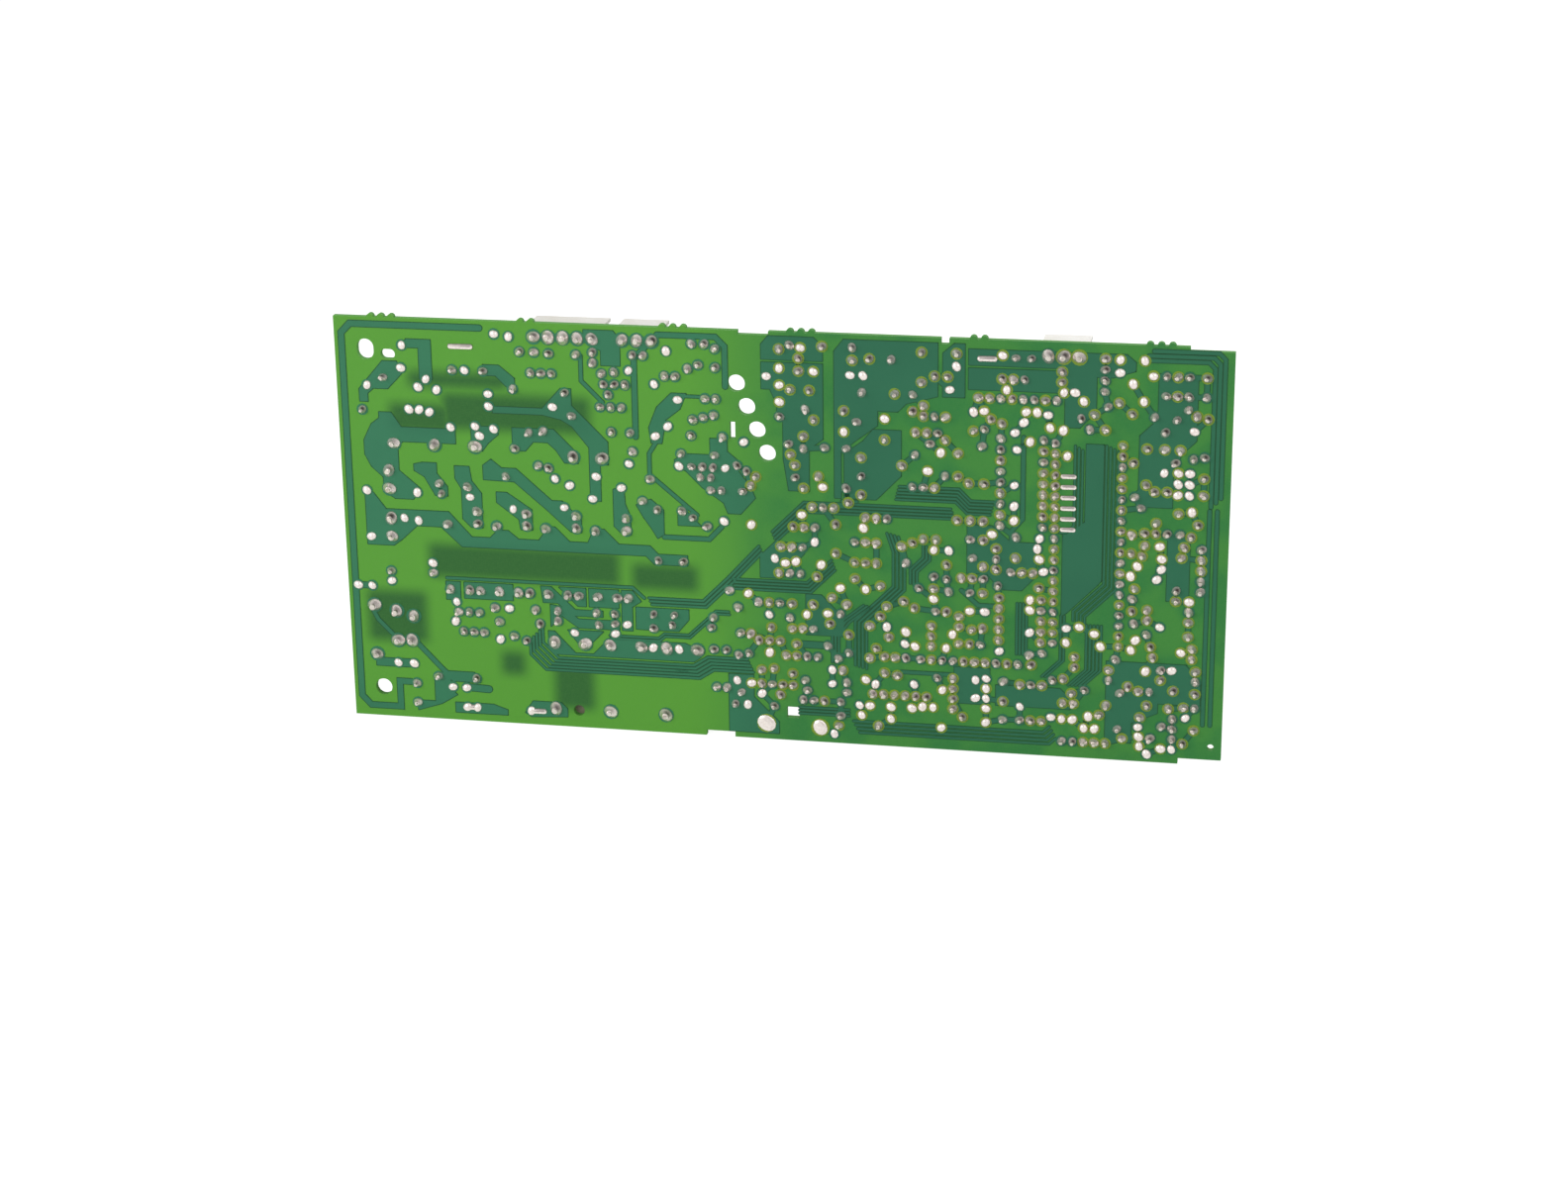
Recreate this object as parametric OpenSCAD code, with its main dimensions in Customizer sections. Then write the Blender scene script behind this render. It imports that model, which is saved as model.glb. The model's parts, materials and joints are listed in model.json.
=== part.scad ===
// Single-sided control board of a microwave oven, standing upright.
// It is laid out flat: x runs along the board, y up it, and z out of the
// soldered face. The components sit on the other face and stand() turns it all up.

/* [Board] */
// Length of the board
board_w = 210; // [208:1:230]
// Height of the board
board_h = 100; // [99.5:0.5:110]
// Thickness of the laminate
board_t = 1.6; // [1.2:0.1:2.4]
// Thickness of the copper with the lacquer over it
foil_t = 0.1; // [0.05:0.05:0.2]
// Diameter of an ordinary lead hole
drill_d = 1; // [0.9:0.05:1.2]

/* [Fixing and clearance holes] */
// Diameter of the lower fixing hole
fix_d = 4.1; // [3.2:0.1:5]
// Distance of the lower fixing hole from the left edge
fix_x = 7.5; // [6:0.5:8]
// Distance of the lower fixing hole from the bottom edge
fix_y = 7.5; // [6:0.5:8]
// Width of the upper fixing slot
slot_w = 4.1; // [3.2:0.1:4.5]
// Height of the upper fixing slot
slot_h = 5; // [4.6:0.1:6]
// Distance between the lower hole and the upper slot
slot_rise = 84.7; // [84:0.1:86]
// Diameter of the locating hole on the right
peg_d = 2.4; // [2:0.1:3]
// Diameter of the creepage holes
creep_d = 4.1; // [3:0.1:4.5]

/* [Leads and solder] */
// Diameter of a round component lead
lead_d = 0.6; // [0.5:0.05:0.8]
// Diameter of a power pin
power_lead_d = 1; // [0.8:0.1:1.2]
// How far a cropped lead stands out of the foil
lead_tip = 1.8; // [1.5:0.1:2.4]
// Diameter of an ordinary solder joint
joint_d = 2.3; // [1.8:0.1:2.4]
// Diameter of a power solder joint
power_joint_d = 3.3; // [2.6:0.1:3.4]
// Diameter of a relay's solder joint
relay_joint_d = 2.6; // [2:0.1:2.6]
// Height of a solder joint
joint_h = 1.3; // [0.9:0.1:1.4]
// Thickness of a tinned bar between two joints
bar_t = 0.5; // [0.2:0.1:0.7]

/* [Microcontroller] */
// Distance between the two rows of pins
dip_row = 15.24; // [14.9:0.02:15.5]
// Length of the moulded case
dip_l = 52; // [51:0.5:53]
// Width of the moulded case
dip_w = 13.7; // [13:0.1:14.2]
// Height of the moulded case
dip_h = 3.8; // [3:0.1:4.5]

/* [Relays] */
// Distance from one relay to the next
relay_step = 12.1; // [11:0.1:12.4]
// Width of a relay
relay_w = 10; // [9.2:0.1:10.6]
// Length of a relay
relay_l = 25; // [24.4:0.2:26]
// Height of a relay
relay_h = 15.4; // [12:0.2:20]
// Thickness of a relay's base
relay_base_t = 1.4; // [1:0.1:2]
// Side of the square power relay
power_relay_w = 19; // [18:0.5:19.5]
// Height of the power relay
power_relay_h = 20; // [16:0.5:24]

/* [Transformer] */
// Width of the laminated core
core_w = 41; // [38:0.5:42]
// Height of the laminated core
core_h = 34; // [30:0.5:38]
// Thickness of the stack of laminations
core_t = 14; // [12:0.5:16]
// Depth of the bobbin's flanges
flange_t = 20.5; // [19:0.5:21]
// Thickness of a flange of the bobbin
flange_wall = 1; // [0.8:0.1:1.4]
// Depth of the winding
coil_t = 19; // [17.5:0.5:19.5]

/* [Small parts] */
// Length of a resistor's body
resistor_l = 6.4; // [5.5:0.1:6.8]
// Diameter of a resistor's ends
resistor_d = 2.4; // [1.8:0.1:2.6]
// Diameter of a diode's body
diode_d = 2.6; // [2:0.1:2.7]
// Length of a diode's body
diode_l = 5.2; // [4:0.1:6]
// Diameter of a small ceramic disc
disc_d = 4.6; // [4:0.1:5]
// Thickness of a ceramic disc
disc_t = 2; // [1.5:0.1:2.2]
// Diameter of a transistor's case
to92_d = 4.7; // [4.2:0.1:4.8]
// Height of a transistor's case
to92_h = 4.6; // [4:0.1:5.2]
// Height of a wire link above the board
link_h = 0.9; // [0.6:0.1:1.2]

/* [Connectors] */
// Distance from one connector pin to the next
pin_pitch = 2.54; // [2.5:0.01:2.58]
// Side of a square connector pin
pin_w = 0.64; // [0.5:0.02:0.8]
// Width of a connector's housing
housing_w = 5.8; // [5:0.1:6]
// Height of a connector's housing
housing_h = 7; // [6:0.5:9]
// Wall of a connector's housing
housing_wall = 0.8; // [0.6:0.1:1]
// Distance from one mains pin to the next
mains_pitch = 10; // [9.8:0.1:10.2]

/* [Hidden] */
$fn = 24;
big = 12;                                   // side of a block that cuts a wire on the mitre
lead_r = lead_d / 2;
foot = -(board_t + foil_t + lead_tip);      // tip of every lead, below the component face
clear = 0.3;                                // running gap between a body and its neighbour

// ---- where things are soldered ----
// Two-lead parts are [x1, y1, x2, y2]. Most places are on a half-millimetre grid.
resistor_places = [
    [112.5, 82, 121.5, 82], [114.5, 79.5, 124.5, 79.5],
    [115.5, 66, 125.5, 66.5], [112, 63, 122, 63.5], [131, 75.5, 141.5, 75],
    [145, 76, 153.5, 75], [138, 72.2, 148, 73], [83, 70, 91, 70],
    [125.5, 71, 135, 69.5], [109, 97, 116.5, 97], [139.5, 96.5, 147.5, 96.5],
    [115, 41.5, 124, 41.5], [130, 40, 139, 40],
    [136, 46, 145.5, 46], [157.5, 41.5, 167, 41.5], [122, 35, 131.5, 35],
    [120.5, 32.5, 130, 32.5], [118, 30, 127.5, 30], [122.5, 27.5, 132, 27.5],
    [110, 24.5, 117.5, 24.5], [121, 18.5, 131, 18.5], [134, 18, 143.5, 18],
    [112, 15.5, 122, 15.5], [112.5, 13, 122, 13],
    [96.5, 11.5, 106, 11.5], [95, 8.5, 104.5, 8.5], [120, 4.5, 129.5, 5], [149.5, 8.5, 159, 8.5],
    [175.5, 25, 185, 25],
    [165.5, 22.5, 175.5, 22.5], [192, 37.5, 201.5, 37.5], [192, 35, 201.5, 35],
    [192, 31.5, 201.5, 31.5], [193, 28.5, 202.5, 28.5], [193.5, 26, 202.5, 26],
    [195.5, 23, 203.5, 23], [195.5, 20.5, 203.5, 20.5], [188.5, 40, 198.5, 40],
    [189, 42.5, 198.5, 42.5], [190.5, 50.5, 199.5, 50.5], [191, 53, 200, 53],
    [190, 62, 198.5, 61], [193.5, 58.5, 203, 58.5], [181.5, 11, 191, 11],
    [183, 13.5, 192.5, 14], [191, 67.5, 191, 76], [36.5, 29.5, 46.5, 29.5],
    [37.5, 26, 47.5, 26], [80.5, 30, 90, 30], [80, 27.5, 89.5, 27.5],
    [85.5, 74.5, 93, 74.5]];
ladder_left = 157.8;                        // left leads of the two ladders of resistors
ladder_right = 167.6;
ladder_pitch = 2.6;
ladders = [[56.2, 9], [28.2, 5]];           // lowest y and count of each ladder
diode_places = [
    [52, 29.5, 61.5, 29.5], [52, 27, 62, 26.5], [66, 29.5, 75.5, 30], [66, 27, 75.5, 26.5],
    [119.5, 47.5, 119.5, 54.5], [52, 92.8, 58.5, 92.8], [6, 77.5, 11.5, 85.5],
    [28.5, 88, 36, 88], [55.5, 83.5, 66, 83.5], [31, 59.5, 40.5, 62.5],
    [188, 72.5, 188.5, 64.5], [11, 37.5, 21.5, 37.5]];
upright_places = [
    [86, 96.5, 89, 96.5], [62.5, 91, 62.5, 93.5], [72, 93.2, 74.5, 93.2], [64.5, 88.5, 67.5, 89],
    [89, 83.5, 91.5, 83.5], [48.5, 65.5, 51, 65], [90, 61.5, 92.5, 61.5], [99.5, 63, 97.5, 61.5],
    [123.5, 94, 123.5, 97], [140, 84, 137.5, 82.5], [142.5, 91, 145.5, 91],
    [148, 67.5, 145, 67.5], [150.5, 66, 154, 66], [151.5, 78.5, 154, 79],
    [171.5, 93.2, 171.5, 90.8],
    [182, 85.5, 184.5, 86.5], [202, 84, 204.5, 83.5],
    [201.5, 74, 204, 74.5], [195, 76, 195, 80], [198.5, 76, 197.5, 73],
    [193, 66, 195.8, 66], [199, 56, 201.5, 55.5], [108.5, 73.5, 109, 71],
    [112, 75.5, 112, 72.5], [111.5, 28.5, 114, 28.5], [109, 34.5, 108.5, 31],
    [107.5, 21.5, 110, 21.5], [112.5, 21.5, 115, 21.5], [90, 22, 93, 22], [96, 21, 98.5, 21.5],
    [96.5, 26.5, 99, 26.5], [90.5, 12.5, 93, 12.5],
    [109, 17, 109, 14], [120.5, 7, 120.5, 10.5], [135.5, 36.5, 138, 35],
    [143, 34.5, 145.5, 34.5], [142.5, 43, 142.5, 40], [145.5, 42.5, 146, 39.5],
    [135, 50, 137.5, 51], [140, 52, 143, 52], [148.5, 33.5, 148.5, 31],
    [151.5, 30.4, 154, 30.9], [151, 39.5, 154, 39.5], [151, 52.5, 154, 52.5],
    [170.5, 19, 173, 19.5],
    [173, 13.5, 175.5, 13.5], [175, 16, 178, 17], 
    [196, 9, 198.5, 8.5], [201, 14, 203.5, 14], [190.5, 17.5, 193, 17.5],
    [188, 55.5, 188, 51], [189, 34, 188.5, 37], [41, 22.5, 44, 21.5],
    [24, 60, 24.5, 57.5]];
disc_places = [
    [45, 93, 48.5, 93], [91.5, 95.5, 91.5, 91], [90, 64.5, 87.5, 64.5], [71, 74.5, 71.5, 70],
    [111, 94, 111, 91], [127.5, 94.5, 132.5, 94.5],
    [110, 68.5, 110, 65.5], [137.5, 86.5, 139.5, 89.5],
    [122.5, 60, 125.5, 62], [155.5, 81.5, 158, 80.5], [176, 82.5, 179, 83.5],
    [204, 93, 204, 88.5], [200, 85.5, 197.5, 83], [187.5, 84, 192.5, 83.5],
    [204, 65.5, 204, 69.5], [104, 28.3, 109, 28.3], [129, 24.5, 127.5, 22], [122.5, 23, 120, 21.5],
    [161.5, 53.5, 161.5, 48.5],
    [154, 46, 151.5, 48], [165, 25, 168, 25.5], [198.5, 18, 203.5, 17.5],
    [188, 18.5, 186.2, 16.8], [193.5, 6, 198.5, 6], [197.5, 13.5, 198.5, 11],
    [101.5, 17.5, 104.5, 18], [46.5, 73.5, 50, 74], [85, 90.5, 87.5, 91.5],
    [94, 37, 96, 33], [203.5, 8.5, 201, 5], [185.8, 7.8, 187, 5.5], [85.5, 54.5, 89, 52.5]];
// centre lead, the direction of the row and the distance between leads
transistor_places = [
    [116.5, 58.5, 0], [112, 53.5, 0], [109, 48.5, 0], [129, 56.5, 0], [126.5, 50.5, 0],
    [126.5, 45.5, 0], [108.5, 42, 0], [103.5, 25, 0], [30, 28, 0], [31, 23, 0],
    [114, 10.5, 0], [104, 14, 0], [165.5, 17.5, 0], [165.5, 8.6, 0], [197.5, 88.5, 0],
    [197.5, 93, 0], [160.5, 91, 0], [67.5, 86, 0], [66.5, 80.5, 0], [50, 88, 0],
    [88, 67, 0], [98.5, 66.5, 150], [142.5, 81.5, 0], [140.7, 77.6, 0], [140, 64.5, 0],
    [193.5, 56, 0], [103.5, 34.5, 0], [133.5, 22.5, 0], [142, 28.3, 90], [151, 26.8, 0],
    [157, 48, 90], [163, 45, 0], [151.5, 43, 0], [88.5, 79, 15]];
to92_pitch = 2.54;
// leads, diameter and height
can_places = [
    [79.5, 88.5, 82, 88.5, 5, 11], [159, 18, 159, 13, 6.3, 11], [114, 34.5, 118.5, 36.5, 8, 12],
    [73.5, 58, 77, 56, 8, 14], [117, 73, 122, 73, 8, 12], [183.5, 22.3, 183.5, 19.8, 5, 11]];
// leads, width and height of the box
film_places = [
    [21.5, 11, 31, 11, 4.5, 9], [161, 96, 164.5, 96, 3, 7], [109, 86.5, 113.5, 86.5, 3, 7],
    [16, 9, 16, 4, 5, 9], [77, 43.5, 83, 43.5, 8, 14]];
link_places = [
    [43, 69.5, 43, 84], [75.5, 63.5, 83, 56], [106.5, 80, 106.5, 96],
    [57, 78, 66.5, 74.5]];
// pads that the wave soldered over with no lead in them
bare_places = [
    [16.5, 93.5], [16, 88], [7.5, 83.5], [22, 85.5], [20, 83.5], [24.5, 83], [17.5, 78],
    [20, 78], [22.5, 77.5], [31.5, 88], [37, 82.5], [37, 79.5], [27.5, 74], [33.5, 74.5], [38, 74],
    [34.5, 72.2], [18.5, 57.5], [6, 57.5], [31.5, 57], [15, 51], [18.5, 50.5],
    [6.5, 46], [2.5, 33.5], [6, 33.5], [27, 30.5], [39, 97], [42.5, 96.5], [71, 89.5],
    [80, 94.5], [52.5, 80], [70.5, 67], [77, 86.5], [77, 74], [82.5, 83], [80, 76.5], [82.5, 67],
    [93.5, 67], [98, 73.5], [93, 54], [103.5, 89.5], [111.5, 96.5], [114.5, 91], 
    [106.5, 91.5], [106.5, 87.5], [106.5, 83.5], [121.5, 77], [131, 80.5], [146, 88], [147.5, 93.5],
    [144, 73], [141, 68.5], [116.5, 63.5], [159, 88.5], [158, 96.5], [163, 81],
    [161, 78.5], [164.5, 76.5], [161.5, 74.5], [161, 66], [161, 61], [161, 57.5], [169, 80],
    [172, 79.5], [176.5, 86.5], [173, 73.5], [190, 96.5], [187.5, 91], [192, 93], [190, 87],
    [201.5, 80.5], [195, 70.5], [194.5, 53], [201.5, 61.5], [195, 50], [195, 47.5],
    [194, 45], [188, 45.5], [189.5, 48], [201.5, 40], [195, 33.5], [189.5, 30], [188.5, 27.5],
    [200, 27.5], [192, 22.5], [198, 23], [201.5, 11.5], [190.6, 8.6],
    [190.8, 6.2], [191, 3.8], [192.8, 2], [196, 3.5], [198.5, 3.5], [173.5, 28.5],
    [172.8, 9.5], [175.3, 9.5], [179, 10.5], [170.3, 9.8], [163, 12], 
    [154.5, 35], [151, 35], [147, 29], [145.5, 25.5], [158, 25.5], [165, 30.5], [165, 36],
    [165, 38.5], [168, 45.5], [167, 48.5], [166.5, 51],
    [167, 53.5], [156, 54], [142.5, 37.5], [142.5, 49.5], [146, 49.5], [135.8, 26], [138.2, 25.5],
    [136, 29], [126, 54], [111.5, 56.5], [114.5, 50], [117.5, 32.5], [126.5, 39], 
    [131.5, 30], [103.5, 22], [99, 14], [95.5, 14.5], [101.5, 11.5], [98, 8.5],
    [125, 10], [125.5, 7.5], [144.7, 15], [144.5, 5.5],
    [155, 7.5], [152.5, 18], [152.5, 13.5], [37.5, 21.5], [40, 29.5], [26.5, 25.5], [56, 24.2],
    [69, 27], [81.5, 21.5], [75.2, 21.5], [66, 24.5], [42, 54.5], [54.5, 55.5], [98.5, 36.5],
    [103.5, 31.5], [31, 3.5], [28.5, 3.5], [44.5, 3.5], [25, 8.5], [28.5, 8.5],
    [11, 35], [21.5, 40], [107.5, 44.5], [105, 45.5], [116, 44.5], [138, 16], [155, 18.5],
    [155, 16], [155, 13.5], [155, 11], [198.2, 65.4], [200.8, 65.4], [198.2, 68], [200.8, 68],
    [198.2, 70.6], [200.8, 70.6], [62.5, 63.5], [61.5, 58], [68.5, 61], [52.5, 62.5], [56, 61],
    [123, 90.5], [126, 90.5], [120.5, 39], [112.5, 32], [11.5, 14], [15.5, 14], [99.5, 53.5],
    [110, 45],
    [127.5, 10], [137.5, 10], [140, 10.5], [142.5, 10.5], [132.5, 7], [132.5, 10], [151.5, 83],
    [153.9, 83.3], [163.5, 83.5], [166, 83.5], [168.5, 83], [172, 88.4], [174.5, 88.5],
    [184.5, 93.5], [184.5, 96.5], [178, 7.5], [180.5, 7.5], [118.5, 15], [118.5, 18.5],
    [126.5, 16.5], [128.8, 15.5], [176.5, 32.5], [173.5, 32], [180, 31], [181.5, 28]];
flat_places = [[102.5, 4, 4.2], [115.5, 3.7, 4], [118.9, 2.3, 2.2]];
// first pin, direction of the row and number of pins
connector_places = [[152.6, 86.4, 0, 8], [139.5, 22.4, 0, 10], [128.2, 13, 0, 6],
    [181.2, 89, 90, 4], [147.2, 10.4, 90, 4], [172.9, 4, 0, 5], [204, 42.5, 90, 5]];
// first pin and number of pins of the power outputs on the top edge
output_places = [[48.5, 96.7, 5], [69.6, 96.7, 3], [168.3, 96.7, 3]];
output_pitch = 3.5;
output_w = 4.8;
output_h = 9;
mains_place = [13.3, 69.5];
mains_count = 3;
mains_w = 9;
mains_h = 11;
dip_place = [177.95, 52.35];
dip_side = 20;                              // pins in each row
dip_lift = 0.6;
dip_pin_w = 0.46;
dip_leaf = 0.25;                            // thickness of the lead frame
dip_shoulder_w = 1.4;
relay_first = [29.35, 43.7];                // centre of the first relay
relay_count = 4;
relay_pin_places = [[-3.7, -10.1], [1.05, -10.1], [3.75, -10.1], [-3.7, 6.3], [3.75, 6.8],
    [3.75, 9.8]];
power_relay_place = [12.3, 23.8];
power_relay_pin_places = [[-6, 4.8], [-6, -7.8], [-0.5, 3.6], [3.7, 2.4], [-0.5, -4], [3, -3.8]];
tab_w = 6.3;
tab_t = 0.8;
tab_l = 8;
transformer_place = [68.5, 13];
transformer_row = 17;                       // distance between the two rows of pins
secondary_x = [-17.5, -10, -3.8, 3.8, 10, 17.5];
primary_x = [-17.8, -4.2, 9.4];
bobbin_base = [40, 2.6];                    // length and thickness
fuse_place = [11.7, 54.5];
fuse_l = 20;
fuse_d = 5;
fuse_leg_places = [-8.2, -3.7, 3.7, 8.2];   // along the fuse, from its middle
fuse_axis = 5.2;                            // height of the fuse above the board
clip_w = 4;
clip_t = 0.5;
surge_place = [57, 68, 64, 68];
surge_d = 12;
surge_t = 4.4;
regulator_place = [150.9, 57];
regulator_pitch = 3;
regulator_w = 10;
regulator_t = 4.4;
sink_w = 11.4;
sink_d = 4.6;
sink_h = 24;
buzzer_place = [125.7, 86.5, 133.3, 86.5];
buzzer_d = 12;
buzzer_h = 9.5;
resonator_gap = 1.65;                       // from the microcontroller's end to the resonator's leads
resonator_y = dip_place[1] + dip_l / 2 + resonator_gap;
resonator_place = [178, resonator_y, 181.5, resonator_y];
joint_gap = 0.15;                           // least gap between two joints of one row

ladder_places = [for (l = ladders, i = [0:l[1] - 1])
    [ladder_left, l[0] + i * ladder_pitch, ladder_right, l[0] + i * ladder_pitch]];
all_resistors = concat(resistor_places, ladder_places);
function ends(list) = [for (p = list) each [[p[0], p[1]], [p[2], p[3]]]];
function row(x, y, a, n, pitch) = [for (i = [0:n - 1]) [x + i * pitch * cos(a), y + i * pitch * sin(a)]];
transistor_leads = [for (t = transistor_places)
    each row(t[0] - to92_pitch * cos(t[2]), t[1] - to92_pitch * sin(t[2]), t[2], 3, to92_pitch)];
connector_leads = [for (c = connector_places) each row(c[0], c[1], c[2], c[3], pin_pitch)];
output_leads = [for (c = output_places) each row(c[0], c[1], 0, c[2], output_pitch)];
regulator_leads = row(regulator_place[0] - regulator_pitch, regulator_place[1], 0, 3, regulator_pitch);
dip_leads = [for (s = [-1, 1], i = [0:dip_side - 1])
    dip_place + [s * dip_row / 2, (i - (dip_side - 1) / 2) * pin_pitch]];
relay_leads = [for (k = [0:relay_count - 1], q = relay_pin_places)
    relay_first + [k * relay_step, 0] + q];
power_relay_leads = [for (q = power_relay_pin_places) power_relay_place + q];
transformer_leads = concat([for (x = secondary_x) transformer_place + [x, transformer_row / 2]],
    [for (x = primary_x) transformer_place + [x, -transformer_row / 2]]);
mains_leads = row(mains_place[0], mains_place[1], 0, mains_count, mains_pitch);
fuse_leads = [for (d = fuse_leg_places) fuse_place + [0, d]];

small_leads = concat(ends(all_resistors), ends(diode_places), ends(upright_places), ends(disc_places),
    ends(film_places), ends(can_places), ends(link_places), ends([resonator_place, buzzer_place]),
    transistor_leads);
pin_leads = concat(connector_leads, regulator_leads);
power_leads = concat(power_relay_leads, transformer_leads, mains_leads, fuse_leads,
    output_leads, ends([surge_place]));
fix_place = [fix_x, fix_y];

// ---- placing ----
// turns the flat board upright, with the lower fixing hole's mouth at the origin
module stand() rotate([90, 0, 0]) translate([-fix_x, -fix_y, 0]) children();

// puts a part on the component face; its own z then points away from that face
module mounted(at, turn = 0) translate([at[0], at[1], -board_t]) rotate([180, 0, turn]) children();

function span(p) = norm([p[2] - p[0], p[3] - p[1]]);

// puts a two-lead part between its leads, with its own x running from one to the other
module between(p) mounted([(p[0] + p[2]) / 2, (p[1] + p[3]) / 2], atan2(p[3] - p[1], p[2] - p[0]))
    children();

module at_each(places) for (q = places) translate([q[0], q[1], 0]) children();

// a flat slab with rounded corners, centred in x and y
module rounded(l, w, r) {
    square([l - 2 * r, w], center = true);
    square([l, w - 2 * r], center = true);
    for (x = [-1, 1], y = [-1, 1]) translate([x * (l / 2 - r), y * (w / 2 - r)]) circle(r);
}

// ---- board ----
nub_groups = [[11.5, 3], [46.5, 2], [81.5, 3], [111.5, 3], [152.5, 2],
    [board_w - 16.5, 3]];
nub_step = 2.5;                             // the broken-off bridges to the next board
nub_r = 0.85;
top_notches = [[96.8, 7.2, 0.9], [143.9, 1.9, 1.4]];    // left end, width and depth
bottom_notch = [87.8, 7, 1.3];
end_step = [10, 1.4];                       // width and height of the step at the lower right
creep_first = [96.4, 87.5];
creep_step = [2.35, -5.5];                  // the four holes run down to the right
creep_count = 4;
square_hole = [107.4, 5.7, 3.1, 2.8];
peg_place = [199.8, 48];

module outline() {
    difference() {
        square([board_w, board_h]);
        for (n = top_notches) translate([n[0], board_h - n[2]]) square([n[1], n[2] + 1]);
        translate([bottom_notch[0], -1]) square([bottom_notch[1], bottom_notch[2] + 1]);
        translate([board_w - end_step[0], -1]) square([end_step[0] + 1, end_step[1] + 1]);
        translate([board_w - end_step[0], board_h - 0.9]) square([end_step[0] + 1, 2]);
    }
    for (g = nub_groups, i = [0:g[1] - 1])
        translate([g[0] + (i - (g[1] - 1) / 2) * nub_step, board_h - 0.05]) circle(nub_r);
}

module clearance_holes() {
    translate(fix_place) circle(fix_d / 2);
    translate(fix_place + [0, slot_rise]) {
        square([slot_w, slot_h - slot_w], center = true);
        for (s = [-1, 1]) translate([0, s * (slot_h - slot_w) / 2]) circle(slot_w / 2);
    }
    translate([12.95, 91.2]) {
        square([1.1, 2.4], center = true);
        for (s = [-1, 1]) translate([s * 0.55, 0]) circle(1.2);
    }
    for (i = [0:creep_count - 1]) translate(creep_first + i * creep_step) circle(creep_d / 2);
    translate([94.7, 74.15]) square([1.3, 4.1]);
    translate([56.4, 4.3]) circle(1.35);
    translate([square_hole[0], square_hole[1]]) square([square_hole[2], square_hole[3]]);
    translate(peg_place) circle(peg_d / 2);
    translate([board_w - 2.5, 4.5]) circle(0.8);
}

module lead_holes() {
    at_each(concat(small_leads, dip_leads, pin_leads)) circle(drill_d / 2);
    at_each(concat(relay_leads, power_leads)) circle(0.8 * drill_d);
}

module laminate() color([0.36, 0.62, 0.26]) stand() translate([0, 0, -board_t])
    linear_extrude(board_t) difference() {
        outline();
        clearance_holes();
        lead_holes();
    }

// ---- copper ----
pad_rim = 0.03;                             // copper that shows round a joint
pour_shift = [0.14, 0.13];                  // keeps a pour's edges from grazing a drilled hole

// a track or bar between two points, with round ends
module stroke(a, b, w) translate(a) rotate(atan2(b[1] - a[1], b[0] - a[0])) {
    translate([0, -w / 2]) square([norm(b - a), w]);
    circle(w / 2);
    translate([norm(b - a), 0]) circle(w / 2);
}

module track(points, w) for (i = [0:len(points) - 2]) stroke(points[i], points[i + 1], w);

// parallel tracks: the same route, moved sideways by one step each time
module bundle(points, n, step, w) for (i = [0:n - 1])
    translate([i * step[0], i * step[1]]) track(points, w);

module pours() {
    polygon([[5, 63], [5, 76], [9, 76], [9, 73.5], [29, 73.5], [29, 70.5], [16, 70.5], [16, 63]]);
    polygon([[4.5, 43.5], [4.5, 57.5], [8.5, 57.5], [10, 53], [25, 53], [31.5, 47.3], [36, 47.3],
        [39, 51.5], [43, 51.5], [46, 47.3], [49, 51.5], [55, 51.5], [58, 47.3], [61, 51.5],
        [66.5, 51.5], [70, 47.3], [78.5, 47.3], [85.5, 45.5], [85.5, 42], [75, 42], [73, 44.3],
        [15, 44.3], [13, 43.5]]);
    polygon([[39.5, 60.5], [39.5, 64.5], [43, 64.5], [58.5, 51], [58.5, 48.5], [54, 48.5]]);
    polygon([[53.5, 66], [53.5, 80], [59, 80], [69, 72], [69, 66]]);
    polygon([[29.5, 31.5], [29.5, 36], [49.5, 36], [55, 30.5], [63, 30.5], [63, 28.5], [55, 28.5],
        [50, 32], [50, 31.5]]);
    polygon([[50, 20], [50, 28], [54, 28], [58, 25], [64, 25], [64, 30], [71, 30], [71, 24],
        [66, 24], [60.5, 18.5], [54, 18.5]]);
    polygon([[63, 19], [63, 23.3], [82, 23.3], [87, 20.5], [85, 18.7]]);
    polygon([[93.3, 2], [93.3, 13], [99.5, 13], [99.5, 10.5], [105.5, 4.5], [105.5, 2]]);
    polygon([[10, 3], [10, 10], [14, 10], [14, 6], [24, 14.5], [31.5, 14.5], [31.5, 9.5],
        [26, 9.5], [20, 3]]);
    polygon([[172.3, 35], [172.3, 54.3], [175.5, 56.5], [177.3, 58], [177.3, 76.5], [181.3, 76.5],
        [181.3, 44], [180.5, 43], [173.5, 35.8]]);
    polygon([[183, 4.5], [183, 24.5], [201, 24.5], [205, 20.5], [205, 16], [195, 16], [195, 12.5],
        [189, 9.5], [189, 4.5]]);
    polygon([[107, 62], [107, 98], [122, 98], [122, 92], [118.5, 88], [118.5, 62]]);
    polygon([[126, 62.5], [126, 69], [131, 73], [137.5, 79.5], [137.5, 88], [150, 88], [150, 75],
        [142, 66], [136, 62.5]]);
    polygon([[196.5, 40], [196.5, 56], [201.5, 56], [201.5, 40]]);
    polygon([[158, 40.5], [158, 48], [161, 52], [166, 52], [166, 44], [163, 40.5]]);
    polygon([[147.5, 13], [147.5, 21], [155, 21], [155, 12]]);
}

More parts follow.
